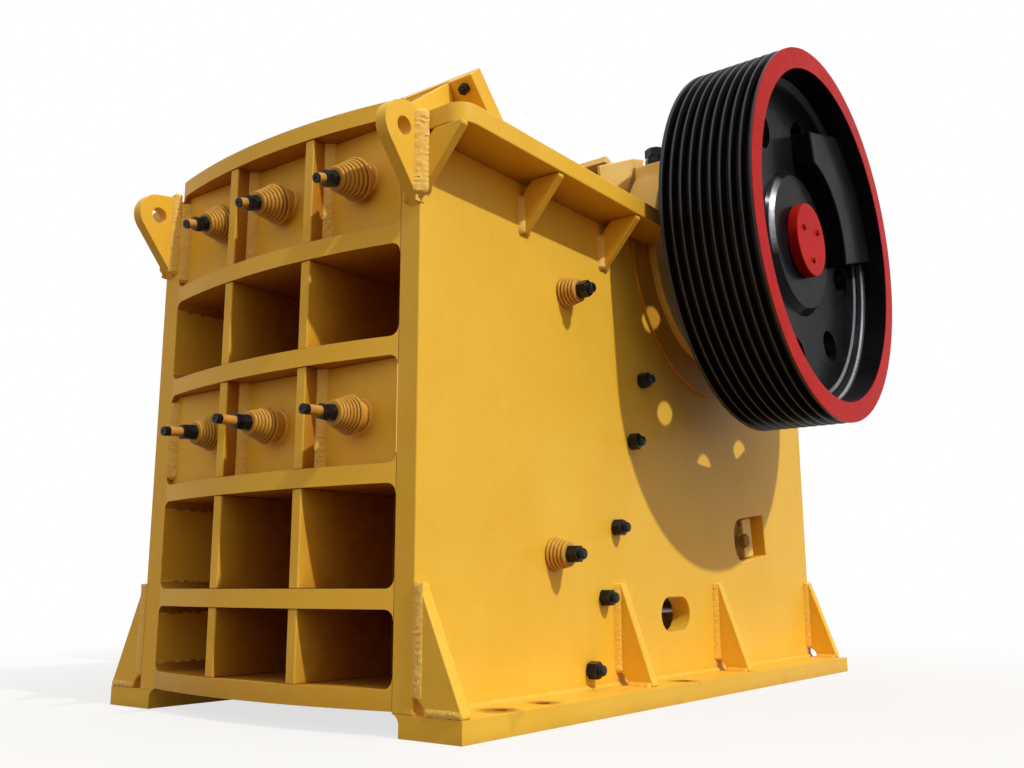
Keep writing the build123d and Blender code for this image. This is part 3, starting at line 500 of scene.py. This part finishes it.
class MeshBag:
    def __init__(self):
        self.points = []
        self.faces = []

    def add(self, shape, place=None):
        points, faces = shape
        start = len(self.points)
        self.points += [place @ point if place else point for point in points]
        self.faces += [tuple(start + corner for corner in face) for face in faces]

    def build(self, name, finish, slot, replaced=(), body="frame"):
        mesh = bpy.data.meshes.new(name)
        mesh.from_pydata([tuple(point) for point in self.points], [], self.faces)
        mesh.validate()
        mesh.shade_smooth()
        mesh.set_sharp_from_angle(angle=sharpAngle)
        mesh.materials.append(finish)
        piece = linked(name, mesh)
        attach(piece, body)
        if replaced:
            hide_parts(*replaced)
        return piece


def closeRings(rings):
    # Joins ring to ring and closes both ends
    count = len(rings[0])
    points = [point for ring in rings for point in ring]
    faces = []
    for row in range(len(rings) - 1):
        for spot in range(count):
            after = (spot + 1) % count
            here, there = row * count, (row + 1) * count
            faces.append((here + spot, here + after, there + after, there + spot))
    faces.append(tuple(reversed(range(count))))
    faces.append(tuple(range(len(points) - count, len(points))))
    return points, faces


def lathe(profile, count):
    turns = [2 * math.pi * spot / count for spot in range(count)]
    return closeRings([[Vector((radius * math.cos(turn), radius * math.sin(turn), height))
                        for turn in turns] for radius, height in profile])


def roundedDisc(radius, low, high, rounding, count):
    # A disc whose rim is rounded over at both faces
    steps = 4
    rounding = min(rounding, (high - low) / 2)
    turns = [math.pi / 2 * step / steps for step in range(steps + 1)]
    lower = [(radius - rounding + rounding * math.sin(turn), low + rounding - rounding * math.cos(turn))
             for turn in turns]
    upper = [(radius - rounding + rounding * math.cos(turn), high - rounding + rounding * math.sin(turn))
             for turn in turns]
    return lathe(lower + upper, count)


def hexNut(flats, low, high):
    # Six flats, and a cone that takes the corners off both faces
    count = 48
    half = flats / 2
    face = half * 0.95
    lean = math.tan(math.radians(30))
    rings = [[], [], [], []]
    for spot in range(count):
        turn = 2 * math.pi * spot / count
        reach = half / math.cos((turn + math.pi / 6) % (math.pi / 3) - math.pi / 6)
        drop = (reach - face) * lean
        ray = Vector((math.cos(turn), math.sin(turn), 0))
        steps = (face, low), (reach, low + drop), (reach, high - drop), (face, high)
        for ring, (across, height) in zip(rings, steps):
            ring.append(ray * across + Vector((0, 0, height)))
    return closeRings(rings)


def threadedEnd(radius, low, high, pitch, dome):
    # Thread crests and roots, then a domed end
    profile = [(radius, low)]
    height = low
    while height + pitch < high - dome:
        profile += [(radius, height + pitch * 0.15), (radius - pitch * 0.5, height + pitch * 0.5),
                    (radius, height + pitch * 0.85)]
        height += pitch
    profile.append((radius, high - dome))
    for step in range(1, 5):
        turn = math.pi / 2 * step / 5
        profile.append((radius * (1 - 0.35 * (1 - math.cos(turn))), high - dome + dome * math.sin(turn)))
    profile.append((radius * 0.55, high))
    return lathe(profile, 20)


def outward(spot, side):
    # A place on a side wall whose local Z looks out of it
    return Matrix.Translation(spot) @ Matrix.Rotation(math.radians(-90 * side), 4, "X")


bead = {"step": 0.0045, "column": 0.004, "bulge": 0.06, "sunk": 0.0012, "rough": 0.0019, "slip": 0.3}


def weldFillet(bag, start, end, sideA, sideB, out, leg, seed):
    # A rough bead that fills the corner from one plate to the other, with its own ripples
    luck = random.Random(seed)
    step, sunk = bead["step"], bead["sunk"]
    length = (end - start).length
    rows = max(2, int(length / step))
    columns = max(5, int(leg / bead["column"]))
    sideA, sideB, out = Vector(sideA), Vector(sideB), Vector(out).normalized()
    along = (end - start) / rows
    rings = []
    for row in range(rows + 1):
        base = start + along * row
        taper = min(1.0, (min(row, rows - row) + 0.6) * step / leg * 2)
        reach = leg * (0.35 + 0.65 * taper) * (1 + luck.uniform(-0.025, 0.025))
        foot = base + sideA * reach - out * sunk
        head = base + sideB * reach - out * sunk
        ring = [foot]
        for column in range(1, columns):
            share = column / columns
            rise = leg * bead["bulge"] * math.sin(math.pi * share) * taper
            rough = bead["rough"] * luck.uniform(-1, 1)
            slip = along * luck.uniform(-bead["slip"], bead["slip"])
            ring.append(foot.lerp(head, share) + out * (rise + rough + sunk) + slip)
        ring += [head, base - out * leg * 0.25]
        rings.append(ring)
    bag.add(closeRings(rings))


def weldPatch(bag, corner, alongEdge, acrossEdge, out, cell, height, seed):
    # A broad band laid in many short runs: a closed pad with a knobbly top
    luck = random.Random(seed)
    rows = max(2, int(alongEdge.length / cell))
    columns = max(3, int(acrossEdge.length / cell))
    out = Vector(out).normalized()
    rings = []
    for row in range(rows + 1):
        ring = []
        for column in range(columns + 1):
            share = column / columns
            crown = max(0.0, math.sin(math.pi * share)) ** 0.5
            ends = min(1.0, (min(row, rows - row) + 0.4) / 2)
            rise = height * (0.35 + 0.65 * crown * ends) * (1 + luck.uniform(-0.45, 0.45))
            slip = luck.uniform(-0.25, 0.25)
            sidestep = luck.uniform(-0.3, 0.3)
            spot = corner + alongEdge * ((row + slip) / rows) + acrossEdge * (share + sidestep / columns)
            ring.append(spot + out * rise)
        last = corner + alongEdge * (row / rows)
        ring += [last + acrossEdge - out * height * 0.5, last - out * height * 0.5]
        rings.append(ring)
    bag.add(closeRings(rings))


# ---- base gussets and the brackets under the feed lip
baseGussets = {
    "shares": (0.0, 0.375, 0.65, 1.0), "width": 0.038, "high": 0.395, "relief": 0.04, "tip": 0.014,
    "topTip": 0.018,
    "reach": 0.13, "frontReach": 0.163, "rounding": 0.01,
}


def prism(bag, outline, step):
    # One closed plate: its outline, and the same outline a step further
    bag.add(closeRings([outline, [point + step for point in outline]]))


def buildBaseGussets():
    look = baseGussets
    bag = MeshBag()
    for side in (-1, 1):
        for share in look["shares"]:
            start = share * (wallLength - look["width"])
            reach = look["reach"] if share else look["frontReach"]
            corners = [(look["relief"] * math.cos(turn * math.pi / 16), railTop + look["relief"] * math.sin(
                turn * math.pi / 16)) for turn in range(9)]
            corners += [(0.0, look["high"]), (look["topTip"] * 0.6, look["high"]),
                        (look["topTip"] * 1.1, look["high"] - look["rounding"] * 0.6),
                        (look["topTip"] * 1.35, look["high"] - look["rounding"] * 2),
                        (reach, railTop + look["tip"]), (reach, railTop)]
            outline = [fromFront(start, side * (outerFace + out), z) for out, z in corners]
            prism(bag, outline, Vector((look["width"], 0, 0)))
    piece = bag.build("base_gusset_plates", framePaint, "frame_paint", ["base_gussets"])
    roundEdges(piece)


lipBrackets = {"thickness": 0.026, "finStart": 0.053}


def buildLipBrackets():
    # A full-width upright, and a fin at each end that stays clear of the lip's front edge
    look = lipBrackets
    low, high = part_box("lip_supports")
    front, back = high.x - look["thickness"], high.x
    bag = MeshBag()
    upright = [(front, low.z), (back, low.z), (back, high.z - 0.03), (front, high.z)]
    prism(bag, [Vector((x, low.y, z)) for x, z in upright], Vector((0, high.y - low.y, 0)))
    start = low.x + look["finStart"]
    for y in (low.y, high.y - look["thickness"]):
        fin = [(start, low.z), (front, low.z), (front, high.z)]
        prism(bag, [Vector((x, y, z)) for x, z in fin], Vector((0, look["thickness"], 0)))
    piece = bag.build("lip_brackets", framePaint, "frame_paint", ["lip_supports"])
    roundEdges(piece)


# ---- end plates of the jaw's head and the bolt in each window
jawHead = {
    "outline": ((1.15, 1.88), (1.138, 1.97), (1.407, 2.093), (1.355, 1.93), (1.3, 1.88)), "outer": 0.486,
    "thickness": 0.016,
}
windowBolts = {"spot": (2.083, 0.555, 0.568), "flats": 0.05, "head": 0.036, "lumps": 7, "lumpSpan": 0.07}


def buildJawHead():
    look = jawHead
    bag = MeshBag()
    for side in (-1, 1):
        outline = [fromFront(x, side * look["outer"], z) for x, z in look["outline"]]
        prism(bag, outline, Vector((0, -side * look["thickness"], 0)))
    piece = bag.build("jaw_end_plates", housingPaleLitPaint, "housing_paint")
    roundEdges(piece)


def buildWindowBolts():
    # A nut on its washer, and rough lumps of the casting above and below it
    look = windowBolts
    bag = MeshBag()
    luck = random.Random(8)
    x, y, z = look["spot"]
    for side in (-1, 1):
        spot = outward(fromFront(x, side * y, z), side)
        bag.add(roundedDisc(look["flats"] * 0.75, -0.002, 0.005, 0.002, 28), spot)
        bag.add(hexNut(look["flats"], 0.004, look["head"]), spot)
        for lump in range(look["lumps"]):
            size = luck.uniform(0.012, 0.02)
            along = look["lumpSpan"] * (lump / (look["lumps"] - 1) * 2 - 1)
            shift = Vector((luck.uniform(-0.016, 0.016), along, 0))
            mound = [(size, -0.003), (size * 0.9, size * 0.3), (size * 0.5, size * 0.55),
                     (size * 0.15, size * 0.6)]
            bag.add(lathe(mound, 14), spot @ Matrix.Translation(shift))
    bag.build("window_bolts", castPaint, "rough_casting")


buildBaseGussets()
buildLipBrackets()
buildJawHead()
buildWindowBolts()
print("gussets, lip brackets and jaw head built")


# ---- tie bolts on the curved front
tieBolts = {
    "plateFront": 0.02, "tops": [1.783 * share for share in (1.0, 0.7835, 0.6007, 0.401, 0.212, 0.0667)],
    "ribThickness": 0.054, "rows": (0, 2),
    # tightened one by one: across, up the cell, lean in degrees, last disc, last nut, rod end
    "bolts": (((-0.682, 0.459, 16.0, 0.129, 0.172, 0.203), (0.0, 0.426, 16.0, 0.121, 0.162, 0.194),
               (0.524, 0.444, 16.5, 0.108, 0.151, 0.186)),
              ((-0.682, 0.518, 1.5, 0.103, 0.149, 0.214), (0.0, 0.504, 0.5, 0.11, 0.159, 0.229),
               (0.524, 0.489, 4.5, 0.101, 0.149, 0.213))),
    "seatRadius": 0.047, "seatHeight": 0.036, "seatWeld": 0.008, "discCount": 7, "smallDisc": 0.0375,
    "nutFlats": 0.044, "rodRadius": 0.015,
    "bigDiscs": (0.0665, 0.0585), "blackTips": (0.006, 0.02),     # one for each row
}


def rowSpan(row):
    return tieBolts["tops"][row + 1], tieBolts["tops"][row] - tieBolts["ribThickness"]


def tiePlaces():
    look = tieBolts
    perRow = zip(look["rows"], look["bolts"], look["bigDiscs"], look["blackTips"])
    for row, bolts, bigDisc, blackTip in perRow:
        low, high = rowSpan(row)
        for across, share, lean, lastDisc, lastNut, rodEnd in bolts:
            spot = fromFront(look["plateFront"], across * innerFace, high - (high - low) * share)
            place = Matrix.Translation(spot) @ Matrix.Rotation(math.radians(-90 - lean), 4, "Y")
            yield place, lean, bigDisc, lastDisc, lastNut, rodEnd, blackTip


def discStack(bag, place, count, bigRadius, smallRadius, low, high):
    # Coned spring discs that get smaller outwards, each with a round rim and a gap to the next
    pitch = (high - low) / count
    thick = pitch * 0.88
    core = pitch * 0.55
    bag.add(lathe([(bigRadius - core, low - 0.0004), (smallRadius - core, high - pitch * 0.1)], 40), place)
    for disc in range(count):
        share = disc / (count - 1)
        radius = bigRadius + (smallRadius - bigRadius) * share ** 0.85
        bottom = low + disc * pitch + (pitch - thick)
        bag.add(roundedDisc(radius, bottom, bottom + thick, thick * 0.5, 40), place)


def seatWeld(bag, place, radius, leg, lean, seed):
    # A rough bead round the seat's foot, which follows the plate when the seat leans
    luck = random.Random(seed)
    count = 44
    rings = []
    for share in (0.0, 0.25, 0.5, 0.75, 1.0):
        ring = []
        for spot in range(count):
            turn = 2 * math.pi * spot / count
            reach = leg * (1 + luck.uniform(-0.2, 0.2))
            bulge = leg * 0.22 * math.sin(math.pi * share) * (1 + luck.uniform(-0.6, 0.6))
            across = radius + reach * (1 - share) + bulge
            plate = -across * math.cos(turn) * math.tan(math.radians(lean))
            ring.append(Vector((across * math.cos(turn), across * math.sin(turn),
                                plate - 0.002 + reach * share + bulge)))
        rings.append(ring)
    bag.add(closeRings(rings), place)


def buildTieBolts():
    discs, nuts, rods, tips, beads = MeshBag(), MeshBag(), MeshBag(), MeshBag(), MeshBag()
    look = tieBolts
    for number, (place, lean, bigDisc, lastDisc, lastNut, rodEnd, blackTip) in enumerate(tiePlaces()):
        foot = -0.003 - (look["seatRadius"] + 0.004) * math.tan(math.radians(lean))
        seat = [(look["seatRadius"], foot), (look["seatRadius"], look["seatHeight"] - 0.004),
                (look["seatRadius"] - 0.003, look["seatHeight"])]
        discs.add(lathe(seat, 40), place)
        seatWeld(beads, place, look["seatRadius"] - 0.001, look["seatWeld"], lean, 40 + number)
        discStack(discs, place, look["discCount"], bigDisc, look["smallDisc"], look["seatHeight"], lastDisc)
        middle = (lastDisc + lastNut) / 2
        nuts.add(hexNut(look["nutFlats"], lastDisc - 0.0005, middle), place)
        twist = place @ Matrix.Rotation(math.radians(17 + 9 * number), 4, "Z")
        nuts.add(hexNut(look["nutFlats"] * 0.98, middle + 0.0005, lastNut), twist)
        radius = look["rodRadius"]
        tipStart = rodEnd - blackTip
        rods.add(lathe([(radius, lastNut - 0.002), (radius, tipStart)], 24), place)
        drilled = [(radius * 0.99, tipStart - 0.0005), (radius * 0.99, rodEnd - 0.0015),
                   (radius * 0.9, rodEnd), (radius * 0.22, rodEnd), (radius * 0.16, rodEnd - 0.004)]
        tips.add(lathe(drilled, 24), place)
    discs.build("tie_spring_discs", discPaint, "spring_paint", ["front_tie_springs"])
    nuts.build("tie_bolt_nuts", blackNut, "black_bolts", ["front_tie_bolts"])
    rods.build("tie_bolt_rods", rodPaint, "spring_paint")
    tips.build("tie_bolt_tips", blackNut, "black_bolts")
    beads.build("tie_seat_welds", weldPaint, "frame_paint")


buildTieBolts()
print("tie bolts built")


# ---- nuts on the side walls
wallBolts = {
    "cheekShares": ((0.4447, 0.6536), (0.4152, 0.5166), (0.3708, 0.337), (0.3397, 0.2012), (0.3076, 0.0694)),
    "springShares": ((0.2647, 0.7831), (0.2359, 0.2799)), "wallHeight": 1.715,
    "nutFlats": 0.05, "nutLength": 0.037, "endRadius": 0.018, "endLength": 0.019, "discCount": 5,
    "bigDisc": 0.0515, "smallDisc": 0.04, "stackLength": 0.06,
}


def buildWallBolts():
    look = wallBolts
    nuts, discs, springNuts = MeshBag(), MeshBag(), MeshBag()

    def nutAndEnd(bag, spot, stand, turn):
        top = stand + look["nutLength"]
        turned = spot @ Matrix.Rotation(math.radians(turn), 4, "Z")
        bag.add(hexNut(look["nutFlats"], stand - 0.0006, top), turned)
        bag.add(threadedEnd(look["endRadius"], top - 0.001, top + look["endLength"], 0.0042, 0.011), spot)

    def wallSpot(x, z, side):
        return outward(fromFront(x * wallLength, side * outerFace, z * look["wallHeight"]), side)

    for side in (-1, 1):
        for place, (x, z) in enumerate(look["cheekShares"]):
            nutAndEnd(nuts, wallSpot(x, z, side), 0.0, 11 * place)
        for place, (x, z) in enumerate(look["springShares"]):
            spot = wallSpot(x, z, side)
            discStack(discs, spot, look["discCount"], look["bigDisc"], look["smallDisc"], -0.0004,
                      look["stackLength"])
            nutAndEnd(springNuts, spot, look["stackLength"], 24 * place + 8)
    nuts.build("wall_nuts", blackNut, "black_bolts", ["cheek_bolts"])
    discs.build("side_spring_discs", discPaint, "spring_paint", ["side_springs"])
    springNuts.build("side_spring_nuts", blackNut, "black_bolts", ["side_spring_bolts"])


buildWallBolts()
print("wall bolts built")


# ---- bearing cap bolts, hub screws, lip and clamp bolts
topBolts = {
    "capOffset": 0.279, "housingRadius": 0.44, "housingMiddle": 0.5675, "capFlats": 0.075, "capNut": 0.037,
    "capEnd": 0.006, "hubBolts": 3, "hubCircle": 0.08, "hubTurn": 36.0, "hubFlats": 0.02, "hubHead": 0.009,
    "lipSpot": (0.337, 0.48, 1.966), "lipSlope": 47.3, "lipFlats": 0.031, "lipHead": 0.022,
    "lipStud": 0.009, "clampPlaces": (-0.44, -0.15, 0.15, 0.44), "clampSlope": 18.4, "clampInset": 0.04,
    "clampFlats": 0.032, "clampHead": 0.018,
}


def buildTopBolts():
    look = topBolts
    caps = MeshBag()
    seat = shaftSpot.z + math.sqrt(look["housingRadius"] ** 2 - look["capOffset"] ** 2)
    for side in (-1, 1):
        for end in (-1, 1):
            x = shaftSpot.x + end * look["capOffset"]
            place = Matrix.Translation((x, side * look["housingMiddle"], seat))
            for level in (0, 1):
                turned = place @ Matrix.Rotation(math.radians(14 + 21 * level), 4, "Z")
                low = level * look["capNut"]
                caps.add(hexNut(look["capFlats"], low - 0.0006, low + look["capNut"]), turned)
            top = 2 * look["capNut"]
            caps.add(roundedDisc(look["capFlats"] * 0.3, top - 0.001, top + look["capEnd"], 0.003, 32), place)
    caps.build("cap_nuts", blackNut, "black_bolts", ["cap_bolts"])
    hubs = MeshBag()
    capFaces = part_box("hub_caps")
    for side, face in ((-1, capFaces[0].y), (1, capFaces[1].y)):
        for bolt in range(look["hubBolts"]):
            turn = math.radians(look["hubTurn"] + 360 * bolt / look["hubBolts"])
            spot = Vector((shaftSpot.x + look["hubCircle"] * math.cos(turn), face,
                           shaftSpot.z + look["hubCircle"] * math.sin(turn)))
            place = outward(spot, side)
            hubs.add(roundedDisc(look["hubFlats"] * 0.66, -0.0005, 0.002, 0.0006, 24), place)
            hubs.add(hexNut(look["hubFlats"], 0.0015, look["hubHead"]), place)
    hubs.build("hub_cap_bolts", redPaint, "red_paint", body="drive")
    small = MeshBag()
    lean = math.radians(look["lipSlope"])
    under = Vector((-math.sin(lean), 0, -math.cos(lean)))
    turn = under.to_track_quat("Z", "Y").to_matrix().to_4x4()
    x, y, z = look["lipSpot"]
    for side in (-1, 1):
        place = Matrix.Translation(fromFront(x, side * y, z)) @ turn
        small.add(hexNut(look["lipFlats"], -0.001, look["lipHead"]), place)
        top = look["lipHead"]
        small.add(roundedDisc(look["lipStud"], top - 0.001, top + 0.006, 0.003, 24), place)
    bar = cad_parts["jaw_clamp_bar"].data.vertices
    high = max(vertex.co.z for vertex in bar)
    ridge = [vertex.co for vertex in bar if vertex.co.z > high - 0.002]
    ridgeX = sum(point.x for point in ridge) / len(ridge)
    clampLean = math.radians(look["clampSlope"])
    downBar = Vector((math.cos(clampLean), 0, -math.sin(clampLean)))
    for y in look["clampPlaces"]:
        spot = Vector((ridgeX, y, high)) + downBar * look["clampInset"]
        place = Matrix.Translation(spot) @ Matrix.Rotation(clampLean, 4, "Y")
        small.add(hexNut(look["clampFlats"], -0.001, look["clampHead"]), place)
    small.build("lip_and_clamp_bolts", blackNut, "black_bolts")


buildTopBolts()
print("top bolts built")


# ---- weld beads
welds = {
    "webPlace": (2 * 0.525 + 0.038) / 6, "webHalf": 0.019, "webLeg": 0.024, "webRun": 0.01,
    "wallGap": 0.02, "lugTop": 1.735, "lugTip": 1.44, "lugBand": 0.034, "lugInner": 0.56, "lugLeg": 0.024,
    "lugOuterLeg": 0.031, "flangeGussets": (0.0, 0.472, 0.944), "flangeGussetWidth": 0.028,
    "flangeGussetLow": 1.485, "flangeRelief": 0.047, "railLeg": 0.012, "gussetLeg": 0.019,
    "frontBand": 0.031, "frontFootLength": 0.118, "frontFootHeight": 0.018, "runSize": 0.005,
    "lugHeight": 0.0045, "frontHeight": 0.004,
}


def uprightWeld(bag, x, y, low, high, way, side, leg, seed):
    # A bead up the corner between a face that looks along X and one that looks along Y
    weldFillet(bag, fromFront(x, y, low), fromFront(x, y, high), (way, 0, 0), (0, side, 0),
               (way, side, 0), leg, seed)


def gussetFaces(start, width):
    # The faces of a gusset that a bead can reach: not those flush with the wall's ends
    return [(face, way) for face, way in ((start, -1), (start + width, 1))
            if 0.0005 < face < wallLength - 0.0005]


def cellWelds(bag, seed):
    # Where each tie plate meets the webs, past its ends, and the side walls, short of its ends
    look = welds
    corners = [(web * look["webPlace"] + face * look["webHalf"], face, look["webRun"])
               for web in (-1, 1) for face in (-1, 1)]
    corners += [(side * innerFace, -side, -look["wallGap"]) for side in (-1, 1)]
    for row in tieBolts["rows"]:
        low, high = rowSpan(row)
        for y, side, run in corners:
            uprightWeld(bag, tieBolts["plateFront"], y, low - run, high + run, -1, side, look["webLeg"], seed)
            seed += 1
    return seed


def lugWelds(bag, side, seed):
    look = welds
    wall = side * outerFace
    tipEnd = look["flangeGussetLow"] + 0.008
    weldPatch(bag, fromFront(-0.02, wall, look["lugTip"] + 0.004), Vector((0, 0, tipEnd - look["lugTip"])),
              Vector((look["lugBand"], 0, 0)), (0, side, 0), look["runSize"], look["lugHeight"], seed)
    uprightWeld(bag, 0, wall, tipEnd - 0.035, look["lugTop"] - 0.012, -1, side, look["lugOuterLeg"], seed + 2)
    uprightWeld(bag, 0, side * look["lugInner"], look["lugTip"] + 0.01, look["lugTop"] + 0.012, -1, -side,
                look["lugLeg"], seed + 1)


def frontGussetBands(bag, side, seed):
    # Broad bands on the front face, beside the front base gusset and at its foot
    look = welds
    relief = baseGussets["relief"]
    sizes = (-1, 0, 0), look["runSize"], look["frontHeight"]
    weldPatch(bag, fromFront(0, side * (outerFace - 0.002), railTop + relief + 0.004),
              Vector((0, 0, baseGussets["high"] - railTop - relief - 0.006)),
              Vector((0, side * look["frontBand"], 0)), *sizes, seed + 7)
    weldPatch(bag, fromFront(0, side * (outerFace + relief), railTop + 0.001),
              Vector((0, side * look["frontFootLength"], 0)),
              Vector((0, 0, look["frontFootHeight"])), *sizes, seed + 8)


def buildWelds():
    look = welds
    front, sides, rails = MeshBag(), MeshBag(), MeshBag()
    flangeSpan = look["flangeGussetLow"] - 0.004, wallTop - look["flangeRelief"]
    baseSpan = railTop + baseGussets["relief"], baseGussets["high"]
    seed = cellWelds(front, 100)
    front.build("front_weld_beads", weldPaint, "frame_paint")
    for side in (-1, 1):
        wall = side * outerFace
        lugWelds(sides, side, seed)
        frontGussetBands(sides, side, seed)
        for start in look["flangeGussets"]:
            for face, way in gussetFaces(start, look["flangeGussetWidth"]):
                uprightWeld(sides, face, wall, *flangeSpan, way, side, look["gussetLeg"], seed + 4)
            seed += 10
        for share in baseGussets["shares"]:
            start = share * (wallLength - baseGussets["width"])
            foot = wall + side * baseGussets["relief"]
            tip = wall + side * (baseGussets["reach"] - 0.004)
            for face, way in gussetFaces(start, baseGussets["width"]):
                uprightWeld(rails, face, wall, *baseSpan, way, side, look["gussetLeg"], seed + 6)
                weldFillet(rails, fromFront(face, foot, railTop), fromFront(face, tip, railTop), (way, 0, 0),
                           (0, 0, 1), (way, 0, 1), look["gussetLeg"] * 0.8, seed + 7)
            seed += 10
        weldFillet(rails, fromFront(0.002, wall, railTop), fromFront(wallLength - 0.002, wall, railTop),
                   (0, side, 0), (0, 0, 1), (0, side, 1), look["railLeg"], seed)
        seed += 1
    sides.build("side_weld_beads", weldPaint, "frame_paint")
    rails.build("rail_weld_beads", beadPaint, "frame_paint")


buildWelds()
print("weld beads built")


# ---- stage: floor, sky, sun and camera
stageLook = {
    "floorHalf": 30.0, "floorHeight": -0.0005, "floorTone": paintTone(226, 222, 216),
    "floorFade": (1.2, 4.5, 0.72, 1.0), "bounceTone": paintTone(108, 86, 64),
    "sunWay": (48, 566, -543), "sunStrength": 2.25, "sunAngle": 1.3, "sunTone": paintTone(253, 253, 255),
    "skyHigh": 0.72, "skyLow": 0.5, "skyTone": paintTone(255, 248, 240),
    "cameraSpot": (-2.3328, -2.4462, 0.3882), "cameraYaw": 52.755, "cameraPitch": 11.127,
    "cameraRoll": -0.167, "lens": 35.84,
}


def seenDirectly(tree):
    # 1 for rays from the camera, in reflections and through glass, which all show the plain background
    rays = put(tree, "ShaderNodeLightPath", (0, 0))
    return calc(tree, "MAXIMUM", (1, 0), rays.outputs["Is Camera Ray"], calc(
        tree, "MAXIMUM", (1, 1), rays.outputs["Is Glossy Ray"], rays.outputs["Is Transmission Ray"]))


def buildFloor():
    half = stageLook["floorHalf"]
    low = stageLook["floorHeight"]
    mesh = bpy.data.meshes.new("floor")
    mesh.from_pydata([(-half, -half, low), (half, -half, low), (half, half, low), (-half, half, low)],
                     [], [(0, 1, 2, 3)])
    made = bpy.data.materials.new("floorPale")
    tree = emptyTree(made)
    shown = seenDirectly(tree)
    tone = blendTone(tree, (2, 2), shown, stageLook["bounceTone"], stageLook["floorTone"])
    matte = put(tree, "ShaderNodeBsdfDiffuse", (3, 2), {"Color": tone})
    glow = put(tree, "ShaderNodeEmission", (3, 0), {"Color": (1, 1, 1, 1), "Strength": 1.0})
    place = put(tree, "ShaderNodeTexCoord", (0, 4)).outputs["Object"]
    away = put(tree, "ShaderNodeVectorMath", (1, 4), {0: place, 1: (1.0, 0.0, 0.0)}, operation="DISTANCE")
    faded = spread(tree, (2, 4), away.outputs["Value"], *stageLook["floorFade"])
    lifted = calc(tree, "MULTIPLY", (3, 4), faded, shown)
    mix = put(tree, "ShaderNodeMixShader", (4, 1), {0: lifted, 1: matte.outputs[0], 2: glow.outputs[0]})
    output = put(tree, "ShaderNodeOutputMaterial", (5, 1))
    tree.links.new(mix.outputs[0], output.inputs[0])
    mesh.materials.append(made)
    linked("floor", mesh)


def buildSky():
    world = bpy.data.worlds.new("softSky")
    bpy.context.scene.world = world
    tree = emptyTree(world)
    shown = seenDirectly(tree)
    way = put(tree, "ShaderNodeTexCoord", (0, 2)).outputs["Generated"]
    up = put(tree, "ShaderNodeSeparateXYZ", (1, 2), {0: way}).outputs[2]
    level = spread(tree, (2, 2), up, -0.1, 0.7, stageLook["skyLow"], stageLook["skyHigh"])
    strength = put(tree, "ShaderNodeMix", (3, 1), {0: shown, 2: level, 3: 1.0}, data_type="FLOAT").outputs[0]
    tone = blendTone(tree, (3, 3), shown, stageLook["skyTone"], paintTone(255, 255, 255))
    background = put(tree, "ShaderNodeBackground", (4, 0), {"Color": tone, "Strength": strength})
    output = put(tree, "ShaderNodeOutputWorld", (5, 0))
    tree.links.new(background.outputs[0], output.inputs[0])


def buildSun():
    lamp = bpy.data.lights.new("sun", "SUN")
    lamp.energy = stageLook["sunStrength"]
    lamp.angle = math.radians(stageLook["sunAngle"])
    lamp.color = stageLook["sunTone"][:3]
    holder = linked("sun", lamp)
    holder.rotation_euler = Vector(stageLook["sunWay"]).to_track_quat("-Z", "Y").to_euler()


def buildCamera():
    lens = bpy.data.cameras.new("camera")
    lens.lens = stageLook["lens"]
    lens.sensor_width = 36.0
    lens.sensor_fit = "HORIZONTAL"
    lens.clip_end = 200.0
    holder = linked("camera", lens)
    turn = (Matrix.Rotation(-math.radians(stageLook["cameraYaw"]), 4, "Z")
            @ Matrix.Rotation(math.radians(90 + stageLook["cameraPitch"]), 4, "X")
            @ Matrix.Rotation(math.radians(stageLook["cameraRoll"]), 4, "Z"))
    holder.matrix_world = Matrix.Translation(stageLook["cameraSpot"]) @ turn
    bpy.context.scene.camera = holder


buildFloor()
buildSky()
buildSun()
buildCamera()
bpy.context.scene.view_settings.view_transform = "Standard"
print("stage built")
